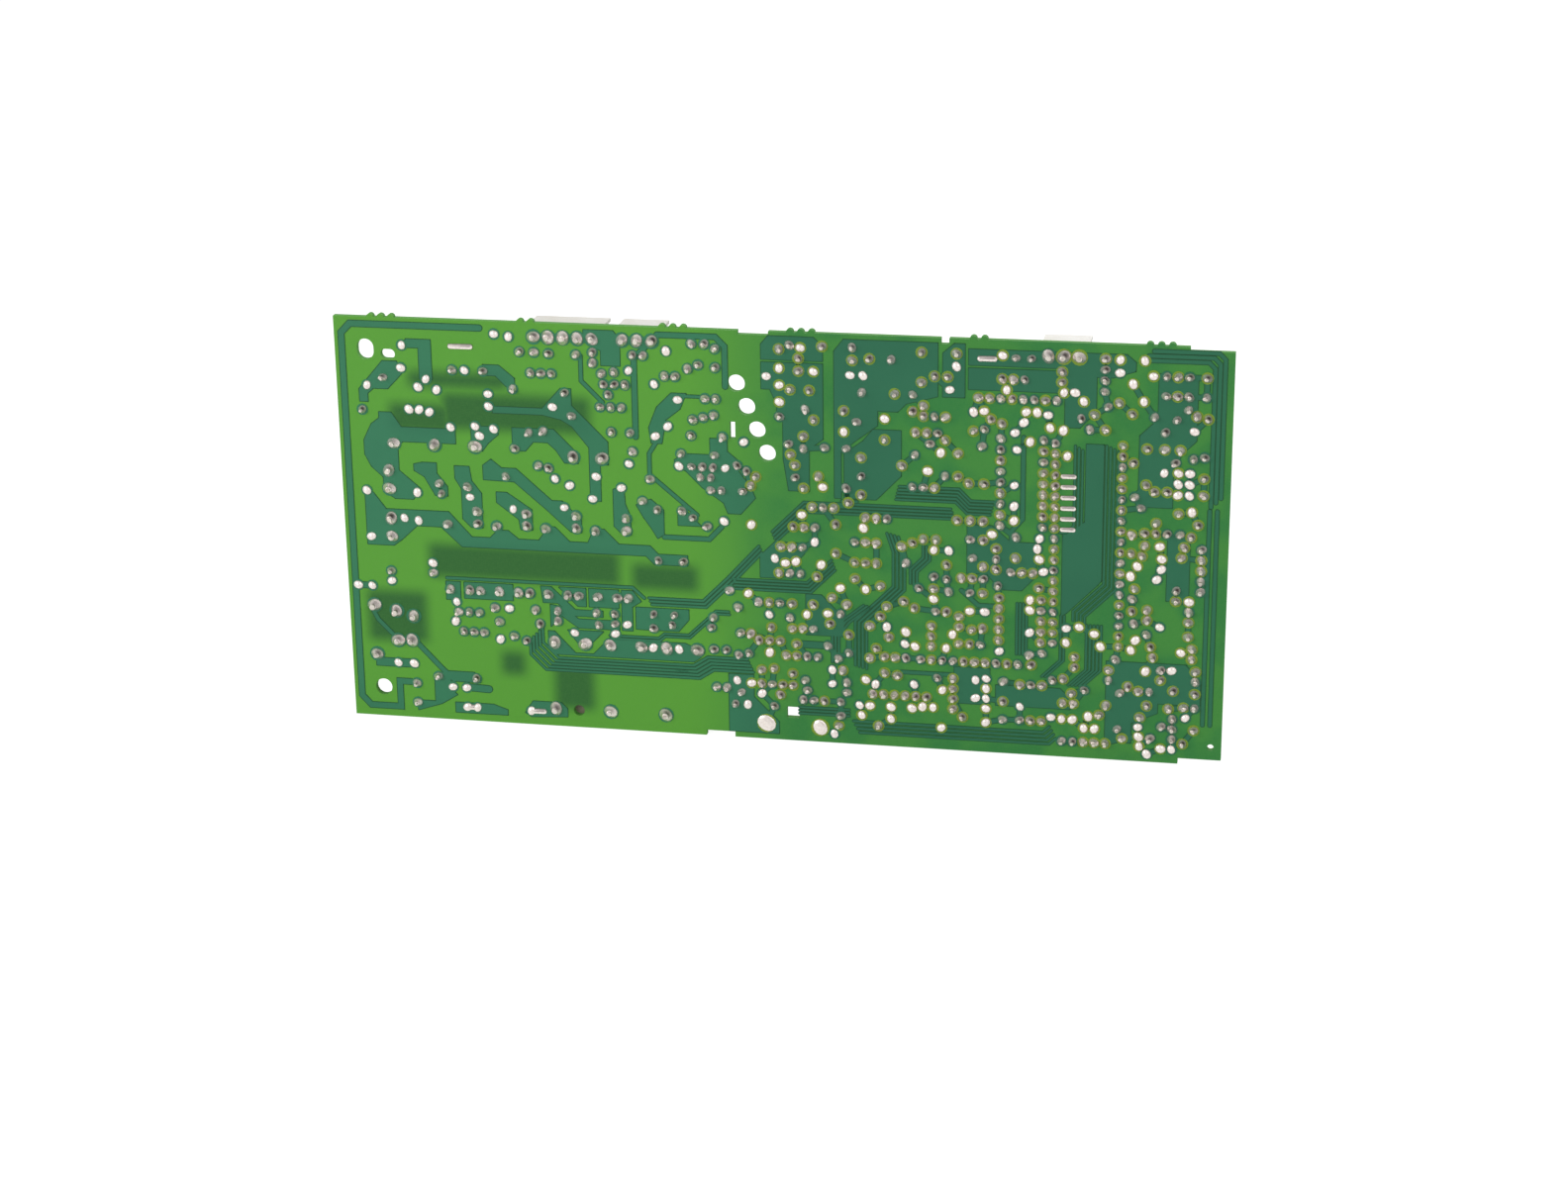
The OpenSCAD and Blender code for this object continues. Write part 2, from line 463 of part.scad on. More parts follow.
module tracks() {
    // the guard track round the left and top edges
    track([[11.5, 2.5], [4, 2.5], [1.8, 5], [1.8, 96], [4, 98.2], [37, 98.2]], 1.4);
    // the lines that run round the right-hand end
    bundle([[207.2, 10], [207.2, 62]], 2, [-1.7, 0], 0.8);
    bundle([[150, 98.6], [205.5, 98.6], [207.8, 96.3], [207.8, 66]], 1, [0, 0], 0.8);
    track([[22.5, 12], [16, 20], [12, 21.5], [6.3, 26.5]], 0.9);
    // signal lines under the transformer and below the relays
    bundle([[46.5, 25], [46.5, 21.5], [51.5, 16.5], [86, 16.5]], 4, [-0.9, -0.75], 0.45);
    bundle([[86, 16.5], [89.5, 18.8], [103.2, 18.8]], 4, [0.3, -0.75], 0.4);
    bundle([[70.5, 36.3], [73, 33.9], [87.6, 33.9], [94, 40.3]], 3, [0.3, -0.85], 0.45);
    bundle([[71.5, 24.6], [76, 24.6], [77.4, 26], [84, 26], [87, 29]], 3, [0, -0.8], 0.4);
    bundle([[94, 36.5], [115, 36.5], [122, 43]], 4, [0, 0.9], 0.4);
    bundle([[124, 20], [124, 31], [133, 40], [133, 48.5], [131.5, 53]], 4, [0.9, -0.25], 0.42);
    bundle([[118.5, 20.5], [118.5, 27.5], [121, 31], [126, 35]], 3, [0.8, -0.2], 0.42);
    bundle([[123, 56.5], [126, 59.5], [148, 59.5], [152, 63.5]], 5, [0, 0.85], 0.42);
    bundle([[137, 41.05], [137, 44.5], [140, 47.5], [140, 50.5]], 3, [0.8, -0.3], 0.42);
    bundle([[162, 25], [162, 37.5]], 4, [0.75, 0], 0.42);
    bundle([[172.2, 35], [172.2, 24], [168, 19.8]], 2, [0.8, 0], 0.4);
    // the fans of lines between the two rows of the microcontroller
    bundle([[181.9, 76.3], [181.9, 43.2], [175, 36.3], [175, 34]], 4, [0.9, -0.4], 0.4);
    bundle([[174.8, 76], [174.8, 57], [173, 55.2], [171.6, 55.2]], 3, [0.85, -0.5], 0.4);
    bundle([[181.6, 33], [181.6, 22], [177.6, 18]], 5, [-0.85, 0], 0.4);
    bundle([[125, 3], [170, 3], [171.5, 4.5]], 4, [-0.5, 0.95], 0.45);
    bundle([[110.5, 8.6], [122.5, 8.6]], 3, [0, -0.8], 0.4);
    track([[111, 24.5], [117.5, 24.5]], 1.6);
    track([[135, 18.95], [153, 18.95]], 0.8);
    track([[6.3, 33.5], [2.7, 33.5]], 1.4);
    track([[160.5, 51], [160.5, 55], [163, 58], [163, 77.5]], 0.9);
    track([[149, 40], [153, 36.5], [157, 36.5]], 0.9);
}

module pads() {
    at_each(concat(small_leads, pin_leads, bare_places)) circle(joint_d / 2 + pad_rim);
    at_each(dip_leads) circle(dip_joint_d / 2 + pad_rim);
    at_each(relay_leads) circle(relay_joint_d / 2 + pad_rim);
    at_each(power_leads) circle(power_joint_d / 2 + 2 * pad_rim);
    for (f = flat_places) translate([f[0], f[1]]) circle(f[2] / 2 + 2 * pad_rim);
}

module copper_foil() color([0.28, 0.52, 0.4]) stand() linear_extrude(foil_t) difference() {
    union() {
        translate(pour_shift) pours();
        tracks();
        pads();
    }
    clearance_holes();
    lead_holes();
}

// ---- solder ----
dip_joint_d = 2.1;
wick = 0.08;                                // thickness of the solder at a lead's tip

// a fillet of solder drawn up round a lead of radius r
module fillet(d, r, h) translate([0, 0, foil_t]) rotate_extrude() polygon([[r, 0], [d / 2, 0],
    [d / 2 - 0.12, h * 0.16], [r + (d / 2 - r) * 0.5, h * 0.42], [r + wick * 2, h * 0.8],
    [r + wick, h], [r, h]]);

// a shallow dome on a pad that has no lead
module dome(d, h) translate([0, 0, foil_t]) rotate_extrude() polygon([[0, 0], [d / 2, 0],
    [d / 2 - 0.1, h * 0.4], [d / 4, h * 0.9], [d / 12, h], [0, h]]);

solder_tint = [0.8, 0.78, 0.72];

module lead_solder() color(solder_tint) stand() at_each(small_leads) fillet(joint_d, lead_r, joint_h);

module pin_solder() color(solder_tint) stand() {
    at_each(dip_leads) fillet(dip_joint_d, lead_r, joint_h * 0.8);
    at_each(pin_leads) fillet(joint_d, pin_w * 0.71, joint_h * 0.9);
}

module power_solder() color(solder_tint) stand() {
    at_each(relay_leads) fillet(relay_joint_d, power_lead_d / 2, joint_h);
    at_each(power_leads) fillet(power_joint_d, power_lead_d / 2, joint_h);
}

module pad_solder() color(solder_tint) stand() {
    at_each(bare_places) dome(joint_d, joint_h * 0.5);
    for (f = flat_places) translate([f[0], f[1], 0]) dome(f[2], joint_h * 0.3);
}

// tinned tracks, thick with solder, that join neighbouring joints
bar_places = [[28.5, 93.7, 33, 93.7], [153, 95.6, 156, 95.6], [29, 3.5, 31, 3.5],
    [45, 3.5, 47.5, 3.5]];
strip_rows = [3, 4, 5, 6, 7, 8];            // counted down from the top of the left row
strip_l = 3.2;

module tinned_bars() color([0.78, 0.76, 0.7]) stand() translate([0, 0, foil_t]) {
    linear_extrude(bar_t) for (b = bar_places) stroke([b[0], b[1]], [b[2], b[3]], 1.7);
    linear_extrude(bar_t * 0.5) for (i = strip_rows) {
        y = dip_place[1] + ((dip_side - 1) / 2 - i) * pin_pitch;
        x = dip_place[0] - dip_row / 2 + dip_joint_d / 2 + joint_gap;
        stroke([x + 0.5, y], [x + strip_l, y - 0.4], 1);
    }
}

// ---- leads ----
module round_lead(top, d = lead_d) translate([0, 0, foot]) cylinder(d = d, h = top - foot);

module lead_pair(s, top, d = lead_d) for (x = [-s / 2, s / 2]) translate([x, 0, 0]) round_lead(top, d);

// a wire that comes up out of the board at s / 2 and runs level towards the middle
module elbow(side, s, rise, gap) translate([side * s / 2, 0, rise]) {
    difference() {
        translate([0, 0, foot - rise]) cylinder(d = lead_d, h = rise - foot + lead_d);
        rotate([0, side * 45, 0]) translate([side > 0 ? -big : 0, -big / 2, -big / 2]) cube(big);
    }
    difference() {
        rotate([0, -side * 90, 0]) translate([0, 0, -lead_d])
            cylinder(d = lead_d, h = (s - gap) / 2 + lead_d);
        rotate([0, side * 45, 0]) translate([side > 0 ? 0 : -big, -big / 2, -big / 2]) cube(big);
    }
}

// a bare wire bridge whose legs reach down to the two given heights
module bridge(s, rise, left_foot, right_foot) {
    for (e = [[-1, left_foot], [1, right_foot]]) translate([e[0] * s / 2, 0, rise]) difference() {
        translate([0, 0, e[1] - rise]) cylinder(d = lead_d, h = rise - e[1] + lead_d);
        rotate([0, e[0] * 45, 0]) translate([e[0] > 0 ? -big : 0, -big / 2, -big / 2]) cube(big);
    }
    difference() {
        translate([-s / 2 - lead_d, 0, rise]) rotate([0, 90, 0]) cylinder(d = lead_d, h = s + 2 * lead_d);
        for (e = [-1, 1]) translate([e * s / 2, 0, rise]) rotate([0, e * 45, 0])
            translate([e > 0 ? 0 : -big, -big / 2, -big / 2]) cube(big);
    }
}

// ---- axial parts ----
resistor_rise = resistor_d / 2 + clear;
diode_rise = diode_d / 2 + clear;
waist = 0.84;                               // a resistor's waist as a share of its ends

// a resistor's body about z, from 0 up
module dog_bone(l, d) rotate_extrude() polygon([[0, 0], [d / 2 - 0.25, 0], [d / 2, 0.25],
    [d / 2, l * 0.17], [waist * d / 2, l * 0.25], [waist * d / 2, l * 0.75], [d / 2, l * 0.83],
    [d / 2, l - 0.25], [d / 2 - 0.25, l], [0, l]]);

module resistors() color([0.82, 0.72, 0.52]) stand() for (p = all_resistors) between(p)
    translate([-resistor_l / 2, 0, resistor_rise]) rotate([0, 90, 0]) dog_bone(resistor_l, resistor_d);

module resistor_leads() color("silver") stand() for (p = all_resistors) between(p)
    for (e = [-1, 1]) elbow(e, span(p), resistor_rise, resistor_l);

upright_d = 2;                              // body of a resistor that stands on end
module upright_resistors() color([0.82, 0.72, 0.52]) stand() for (p = upright_places) between(p)
    translate([-span(p) / 2, 0, clear]) dog_bone(resistor_l, upright_d);

module upright_resistor_leads() color("silver") stand() for (p = upright_places) between(p) {
    translate([-span(p) / 2, 0, 0]) round_lead(clear);
    bridge(span(p), clear + resistor_l + 0.8, clear + resistor_l, foot);
}

module diodes() color([0.12, 0.12, 0.13]) stand() for (p = diode_places) between(p)
    translate([-diode_l / 2, 0, diode_rise]) rotate([0, 90, 0]) rotate_extrude()
        polygon([[0, 0], [diode_d / 2 - 0.15, 0], [diode_d / 2, 0.15], [diode_d / 2, diode_l - 0.15],
            [diode_d / 2 - 0.15, diode_l], [0, diode_l]]);

module diode_leads() color("silver") stand() for (p = diode_places) between(p)
    for (e = [-1, 1]) elbow(e, span(p), diode_rise, diode_l);

module wire_links() color("silver") stand() for (p = link_places) between(p)
    bridge(span(p), link_h, foot, foot);

// ---- radial parts ----
disc_lift = 1.2;                            // the flat under a disc stands this far off the board
disc_margin = 1;                            // least coating beyond each lead

module disc_body(s, d0, t) {
    d = max(d0, s + 2 * disc_margin);
    drop = sqrt(pow(d / 2, 2) - pow(s / 2 + disc_margin / 2, 2));
    difference() {
        translate([0, 0, disc_lift + drop]) rotate([90, 0, 0]) rotate_extrude()
            polygon([[0, -t / 2], [d * 0.32, -t / 2], [d * 0.47, -t * 0.28], [d / 2, 0],
                [d * 0.47, t * 0.28], [d * 0.32, t / 2], [0, t / 2]]);
        translate([-d, -t, disc_lift - d]) cube([2 * d, 2 * t, d]);
    }
}

module disc_capacitors() color([0.75, 0.45, 0.2]) stand() for (p = disc_places) between(p)
    disc_body(span(p), disc_d, disc_t);

module disc_capacitor_leads() color("silver") stand() for (p = disc_places) between(p)
    lead_pair(span(p), disc_lift);

module surge_disc() color([0.15, 0.3, 0.55]) stand() between(surge_place)
    disc_body(span(surge_place), surge_d, surge_t);

module surge_disc_leads() color("silver") stand() between(surge_place)
    lead_pair(span(surge_place), disc_lift, power_lead_d);

film_over = 1.6;                            // how far a film capacitor's box passes its leads
module film_capacitors() color([0.85, 0.75, 0.3]) stand() for (p = film_places) between(p)
    difference() {
        linear_extrude(p[5]) rounded(span(p) + 2 * film_over, p[4], 0.5);
        // feet at the corners leave a gap for washing under the box
        translate([-span(p) / 2 - film_over - 1, -p[4] / 2 + 0.6, -1])
            cube([span(p) + 2 * film_over + 2, p[4] - 1.2, 1 + clear]);
    }

module film_capacitor_leads() color("silver") stand() for (p = film_places) between(p)
    lead_pair(span(p), clear);

sleeve_wall = 0.2;
module can_sleeves() color([0.1, 0.12, 0.2]) stand() for (p = can_places) between(p)
    rotate_extrude() polygon([[p[4] / 2 - sleeve_wall, 0], [p[4] / 2, 0],
        [p[4] / 2, 1.2], [p[4] / 2 - 0.3, 1.7], [p[4] / 2, 2.2], [p[4] / 2, p[5]],
        [p[4] / 2 - 0.8, p[5]], [p[4] / 2 - 0.8, p[5] - sleeve_wall],
        [p[4] / 2 - sleeve_wall, p[5] - sleeve_wall], [p[4] / 2 - sleeve_wall, 2.2],
        [p[4] / 2 - 0.3 - sleeve_wall, 1.7], [p[4] / 2 - sleeve_wall, 1.2]]);

module can_capacitors() color([0.8, 0.8, 0.82]) stand() for (p = can_places) between(p)
    difference() {
        rotate_extrude() polygon([[0, 0.3], [p[4] / 2 - sleeve_wall, 0.3],
            [p[4] / 2 - sleeve_wall, 1.2], [p[4] / 2 - 0.3 - sleeve_wall, 1.7],
            [p[4] / 2 - sleeve_wall, 2.2], [p[4] / 2 - sleeve_wall, p[5] - sleeve_wall],
            [0, p[5] - sleeve_wall]]);
        // the pressed vent
        for (a = [0, 90]) rotate(a) translate([-p[4] * 0.3, -0.15, p[5] - 0.4]) cube([p[4] * 0.6, 0.3, 1]);
    }

module can_leads() color("silver") stand() for (p = can_places) between(p) lead_pair(span(p), 0.3);

// ---- transistors ----
to92_lift = 3.2;
to92_flat = 1.25;                           // distance of the flat from the centre
to92_inner = 1.27;                          // spacing of the leads at the case
to92_lead_w = 0.42;

module to92_at(t) mounted([t[0], t[1]], t[2]) children();

module transistors() color([0.08, 0.08, 0.09]) stand() for (t = transistor_places) to92_at(t)
    translate([0, 0, to92_lift]) linear_extrude(to92_h) difference() {
        circle(to92_d / 2);
        translate([-to92_d, to92_flat]) square([2 * to92_d, to92_d]);
    }

module to92_leads() for (x = [-1, 0, 1]) rotate([90, 0, 0])
    translate([0, 0, -to92_lead_w / 2]) linear_extrude(to92_lead_w) {
        a = x * to92_inner - to92_lead_w / 2;
        b = x * to92_pitch - to92_lead_w / 2;
        w = to92_lead_w;
        polygon(x == 0 ? [[a, foot], [a + w, foot], [a + w, to92_lift], [a, to92_lift]] :
            [[b, foot], [b + w, foot], [b + w, 1], [a + w, to92_lift - 0.6], [a + w, to92_lift],
                [a, to92_lift], [a, to92_lift - 0.6], [b, 1]]);
    }

module transistor_legs() color("silver") stand() for (t = transistor_places) to92_at(t)
    to92_leads();

// ---- microcontroller ----
module microcontroller() color([0.1, 0.1, 0.11]) stand() mounted(dip_place, 90) difference() {
    translate([-dip_l / 2, 0, dip_lift]) rotate([90, 0, 90]) linear_extrude(dip_l)
        polygon([[-dip_w / 2 + 0.35, 0], [dip_w / 2 - 0.35, 0], [dip_w / 2, dip_h / 2],
            [dip_w / 2 - 0.35, dip_h], [-dip_w / 2 + 0.35, dip_h], [-dip_w / 2, dip_h / 2]]);
    translate([dip_l / 2, 0, dip_lift + dip_h - 0.8]) cylinder(r = 1.6, h = 2);
    translate([dip_l / 2 - 2, dip_w / 2 - 2.4, dip_lift + dip_h - 0.2]) cylinder(r = 0.8, h = 1);
}

// one pin of the lead frame; its row is at x = 0 and the case lies towards -x
module dip_pin(reach, rise) {
    rotate([90, 0, 0]) translate([0, 0, -dip_shoulder_w / 2]) linear_extrude(dip_shoulder_w)
        polygon([[-reach, rise], [-0.3, rise], [dip_leaf / 2, rise - 0.4], [dip_leaf / 2, 0],
            [-dip_leaf / 2, 0], [-dip_leaf / 2, rise - 0.6], [-0.4, rise - dip_leaf],
            [-reach, rise - dip_leaf]]);
    translate([-dip_leaf / 2, -dip_pin_w / 2, foot]) cube([dip_leaf, dip_pin_w, -foot]);
}

module microcontroller_pins() color("silver") stand() for (s = [0, 1], i = [0:dip_side - 1])
    mounted(dip_place + [(s * 2 - 1) * dip_row / 2, (i - (dip_side - 1) / 2) * pin_pitch], s == 1 ? 0 : 180)
        dip_pin((dip_row - dip_w) / 2, dip_lift + dip_h / 2 + dip_leaf / 2);

// ---- relays ----
module relay_at() for (k = [0:relay_count - 1]) mounted(relay_first + [k * relay_step, 0]) children();

module relay_cases() color([0.9, 0.9, 0.86]) stand() relay_at() translate([0, 0, relay_base_t]) {
    linear_extrude(relay_h - relay_base_t - 0.5) rounded(relay_w, relay_l, 0.8);
    translate([0, 0, relay_h - relay_base_t - 0.5]) linear_extrude(0.5)
        rounded(relay_w - 0.8, relay_l - 0.8, 0.8);
}

module relay_bases() color([0.16, 0.16, 0.17]) stand() relay_at()
    linear_extrude(relay_base_t) rounded(relay_w - 0.4, relay_l - 0.4, 0.8);

module relay_pins() color("silver") stand() for (q = relay_leads) mounted(q) round_lead(0, power_lead_d);

module power_relay_case() color([0.12, 0.12, 0.13]) stand() mounted(power_relay_place)
    translate([0, 0, relay_base_t]) {
        linear_extrude(power_relay_h - relay_base_t - 0.6) rounded(power_relay_w, power_relay_w, 1);
        translate([0, 0, power_relay_h - relay_base_t - 0.6]) linear_extrude(0.6)
            rounded(power_relay_w - 1, power_relay_w - 1, 1);
    }

module power_relay_base() color([0.2, 0.2, 0.21]) stand() mounted(power_relay_place)
    linear_extrude(relay_base_t) rounded(power_relay_w - 0.6, power_relay_w - 0.6, 1);

module power_relay_pins() color("silver") stand() for (q = power_relay_leads)
    mounted(q) round_lead(0, power_lead_d);

// a push-on tab, standing on z = 0 with its width along x
module tab() rotate([90, 0, 0]) translate([0, 0, -tab_t / 2]) linear_extrude(tab_t) difference() {
    polygon([[-tab_w / 2, 0], [tab_w / 2, 0], [tab_w / 2, tab_l - 1.2], [tab_w / 2 - 1.2, tab_l],
        [-tab_w / 2 + 1.2, tab_l], [-tab_w / 2, tab_l - 1.2]]);
    translate([0, tab_l * 0.6]) circle(0.8);
}

module power_relay_tabs() color([0.75, 0.72, 0.6]) stand() mounted(power_relay_place)
    for (y = [-1, 1]) translate([0, y * power_relay_w / 4, power_relay_h]) tab();

// ---- transformer ----
limb = core_w / 6;                          // outer limb; the middle one is twice as wide
coil_h = core_h - 2 * limb - 2 * flange_wall - 2 * clear;
core_z = bobbin_base[1];

module transformer_core() color([0.35, 0.34, 0.33]) stand() mounted(transformer_place)
    translate([0, core_t / 2, core_z]) rotate([90, 0, 0]) linear_extrude(core_t) difference() {
        translate([-core_w / 2, 0]) square([core_w, core_h]);
        for (x = [-1, 1]) translate([x * 1.5 * limb - limb / 2, limb]) square([limb, core_h - 2 * limb]);
        for (x = [-1, 1], z = [limb / 2, core_h - limb / 2])
            translate([x * (core_w / 2 - limb / 2), z]) circle(1.5);
    }

// a ring round the middle limb, in plan
module ring(l, w) difference() {
    square([l, w], center = true);
    square([2 * limb, core_t], center = true);
}

coil_l = 4 * limb - 2 * clear;

module transformer_bobbin() color([0.75, 0.72, 0.62]) stand() mounted(transformer_place) {
    linear_extrude(bobbin_base[1]) rounded(bobbin_base[0], flange_t, 0.8);
    translate([0, 0, core_z + limb + clear]) for (z = [0, coil_h / 2, coil_h + flange_wall])
        translate([0, 0, z]) linear_extrude(flange_wall) ring(coil_l, flange_t);
}

module transformer_coil() color([0.6, 0.3, 0.15]) stand() mounted(transformer_place)
    translate([0, 0, core_z + limb + clear + flange_wall])
        linear_extrude(coil_h / 2 - flange_wall) ring(coil_l - 1, coil_t);

module transformer_tape() color([0.85, 0.75, 0.25]) stand() mounted(transformer_place)
    translate([0, 0, core_z + limb + clear + flange_wall + coil_h / 2])
        linear_extrude(coil_h / 2) ring(coil_l - 1, coil_t);

module transformer_pins() color("silver") stand() for (q = transformer_leads)
    mounted(q) round_lead(0, power_lead_d);

// ---- connectors ----
module connector_at(c) mounted([c[0], c[1]], c[2]) children();
housing_over = 1.4;                         // how far a housing passes its end pins
housing_floor = 2;
pin_top = 6;

module connector_housings() color([0.9, 0.88, 0.8]) stand() for (c = connector_places) connector_at(c) {
    l = (c[3] - 1) * pin_pitch + 2 * housing_over;
    translate([-housing_over, -housing_w / 2, 0]) {
        linear_extrude(housing_floor) difference() {
            square([l, housing_w]);
            for (i = [0:c[3] - 1]) translate([housing_over + i * pin_pitch, housing_w / 2])
                square(pin_w, center = true);
        }
        translate([0, 0, housing_floor]) linear_extrude(housing_h - housing_floor) difference() {
            square([l, housing_w]);
            translate([housing_wall, housing_wall])
                square([l - 2 * housing_wall, housing_w - 2 * housing_wall]);
            // the slots for the plug's latch
            translate([l / 2 - 1.5, -1]) square([3, housing_wall + 2]);
        }
    }
}

module square_pin(w, top) translate([-w / 2, -w / 2, foot]) cube([w, w, top - foot]);

module connector_pins() color("silver") stand() for (q = connector_leads) mounted(q)
    square_pin(pin_w, pin_top);

// an open header: a floor for the pins with a wall along one side that the plug latches to
module wafer(l, w, h, wall, floor_t, places, d) {
    linear_extrude(floor_t) difference() {
        square([l, w]);
        for (x = places) translate([x, w / 2]) circle(d / 2);
    }
    translate([0, 0, floor_t]) linear_extrude(h - floor_t) square([l, wall]);
}

module output_housings() color([0.92, 0.9, 0.84]) stand() for (c = output_places) mounted([c[0], c[1]])
    translate([-1.9, -output_w / 2, 0]) wafer((c[2] - 1) * output_pitch + 3.8, output_w, output_h,
        housing_wall, 3, [for (i = [0:c[2] - 1]) 1.9 + i * output_pitch], power_lead_d);

module output_pins() color("silver") stand() for (q = output_leads) mounted(q)
    round_lead(output_h - 1, power_lead_d);

module mains_housing() color([0.9, 0.88, 0.82]) stand() mounted(mains_place)
    translate([-mains_pitch * 0.4, -mains_w / 2, 0])
        wafer((mains_count - 1) * mains_pitch + mains_pitch * 0.8, mains_w, mains_h, 1, 3,
            [for (i = [0:mains_count - 1]) mains_pitch * 0.4 + i * mains_pitch], power_lead_d);

module mains_pins() color("silver") stand() for (q = mains_leads) mounted(q)
    round_lead(mains_h - 1.5, power_lead_d);

// ---- fuse ----
module fuse_tube() color([0.8, 0.85, 0.85]) stand() mounted(fuse_place, 90)
    translate([-fuse_l / 2 + 1, 0, fuse_axis]) rotate([0, 90, 0]) cylinder(d = fuse_d - 0.4, h = fuse_l - 2);

cap_l = 5;
module fuse_caps() color("silver") stand() mounted(fuse_place, 90) for (s = [0, 1]) mirror([s, 0, 0])
    translate([-fuse_l / 2, 0, fuse_axis]) rotate([0, 90, 0]) rotate_extrude()
        polygon([[0, 0], [fuse_d / 2, 0], [fuse_d / 2, cap_l], [fuse_d / 2 - 0.2, cap_l],
            [fuse_d / 2 - 0.2, 1], [0, 1]]);

// a springy U that grips a cap of the fuse, on two legs
module fuse_clip() {
    rotate([90, 0, 90]) translate([0, 0, -clip_w / 2]) linear_extrude(clip_w) difference() {
        translate([-fuse_d / 2 - clip_t, 1]) square([fuse_d + 2 * clip_t, fuse_axis + 1]);
        translate([0, fuse_axis]) circle(fuse_d / 2);
        translate([-fuse_d / 2 + 0.4, fuse_axis]) square([fuse_d - 0.8, fuse_d]);
        translate([-fuse_d / 2, 1 + clip_t]) square([fuse_d, fuse_axis - fuse_d / 2 - 1 - clip_t + 0.01]);
    }
}

module fuse_clips() color([0.8, 0.78, 0.7]) stand() mounted(fuse_place, 90) for (s = [-1, 1]) {
    translate([s * 7.6, 0, 0]) fuse_clip();
    for (d = fuse_leg_places) if (d * s > 0) translate([d, 0, 0]) round_lead(1, power_lead_d);
}

// ---- regulator, buzzer and resonator ----
regulator_lift = 4;
module regulator() color([0.1, 0.1, 0.11]) stand() mounted(regulator_place) difference() {
    translate([-regulator_w / 2, -regulator_t / 2, regulator_lift]) cube([regulator_w, regulator_t, 9.2]);
    translate([-6, regulator_t / 2 - 0.1, regulator_lift - 1]) rotate([-4, 0, 0]) cube([12, 3, 12]);
}

module regulator_legs() color("silver") stand() for (q = regulator_leads) mounted(q)
    square_pin(0.6, regulator_lift);

module heat_sink() color([0.75, 0.76, 0.78]) stand() mounted(regulator_place)
    translate([-sink_w / 2, -regulator_t / 2 - sink_d, 1.5]) linear_extrude(sink_h) {
        translate([0, sink_d - 1.2]) square([sink_w, 1.2]);
        for (i = [0:4]) translate([i * (sink_w - 1) / 4, 0]) square([1, sink_d]);
    }

module buzzer_case() color([0.1, 0.1, 0.1]) stand() between(buzzer_place) difference() {
    cylinder(d = buzzer_d, h = buzzer_h);
    translate([0, 0, 2]) cylinder(d = buzzer_d - 2, h = buzzer_h - 3);
    cylinder(d = 2.4, h = buzzer_h + 1);
}

module buzzer_legs() color("silver") stand() between(buzzer_place) lead_pair(span(buzzer_place), 0);

module resonator() color([0.2, 0.35, 0.6]) stand() between(resonator_place)
    translate([0, 0, clear]) linear_extrude(5.5) rounded(7, 2.7, 1.2);

module resonator_leads() color("silver") stand() between(resonator_place)
    lead_pair(span(resonator_place), clear);

laminate();
copper_foil();
lead_solder();
pin_solder();
power_solder();
pad_solder();
tinned_bars();
microcontroller();
microcontroller_pins();
relay_cases();
relay_bases();
relay_pins();
power_relay_case();
power_relay_base();
power_relay_pins();
power_relay_tabs();
transformer_core();
transformer_bobbin();
transformer_coil();
transformer_tape();
transformer_pins();
resistors();
resistor_leads();
upright_resistors();
upright_resistor_leads();
diodes();
diode_leads();
disc_capacitors();
disc_capacitor_leads();
transistors();
transistor_legs();
can_capacitors();
can_sleeves();
can_leads();
film_capacitors();
film_capacitor_leads();
wire_links();
connector_housings();
connector_pins();
mains_housing();
mains_pins();
output_housings();
output_pins();
fuse_tube();
fuse_caps();
fuse_clips();
surge_disc();
surge_disc_leads();
regulator();
regulator_legs();
heat_sink();
buzzer_case();
buzzer_legs();
resonator();
resonator_leads();
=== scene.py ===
"""Looks of a microwave oven's control board, standing upright with its soldered face forward.

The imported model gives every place: the board lies in the plane y = 0 with its soldered face
towards -y, x along its length and z up its height. Each class below dresses one group of parts,
and main() runs them in order.
"""

from __future__ import annotations

import json
import logging
import math
from dataclasses import dataclass, field
from enum import Enum
from typing import Any, Optional, Sequence, Union

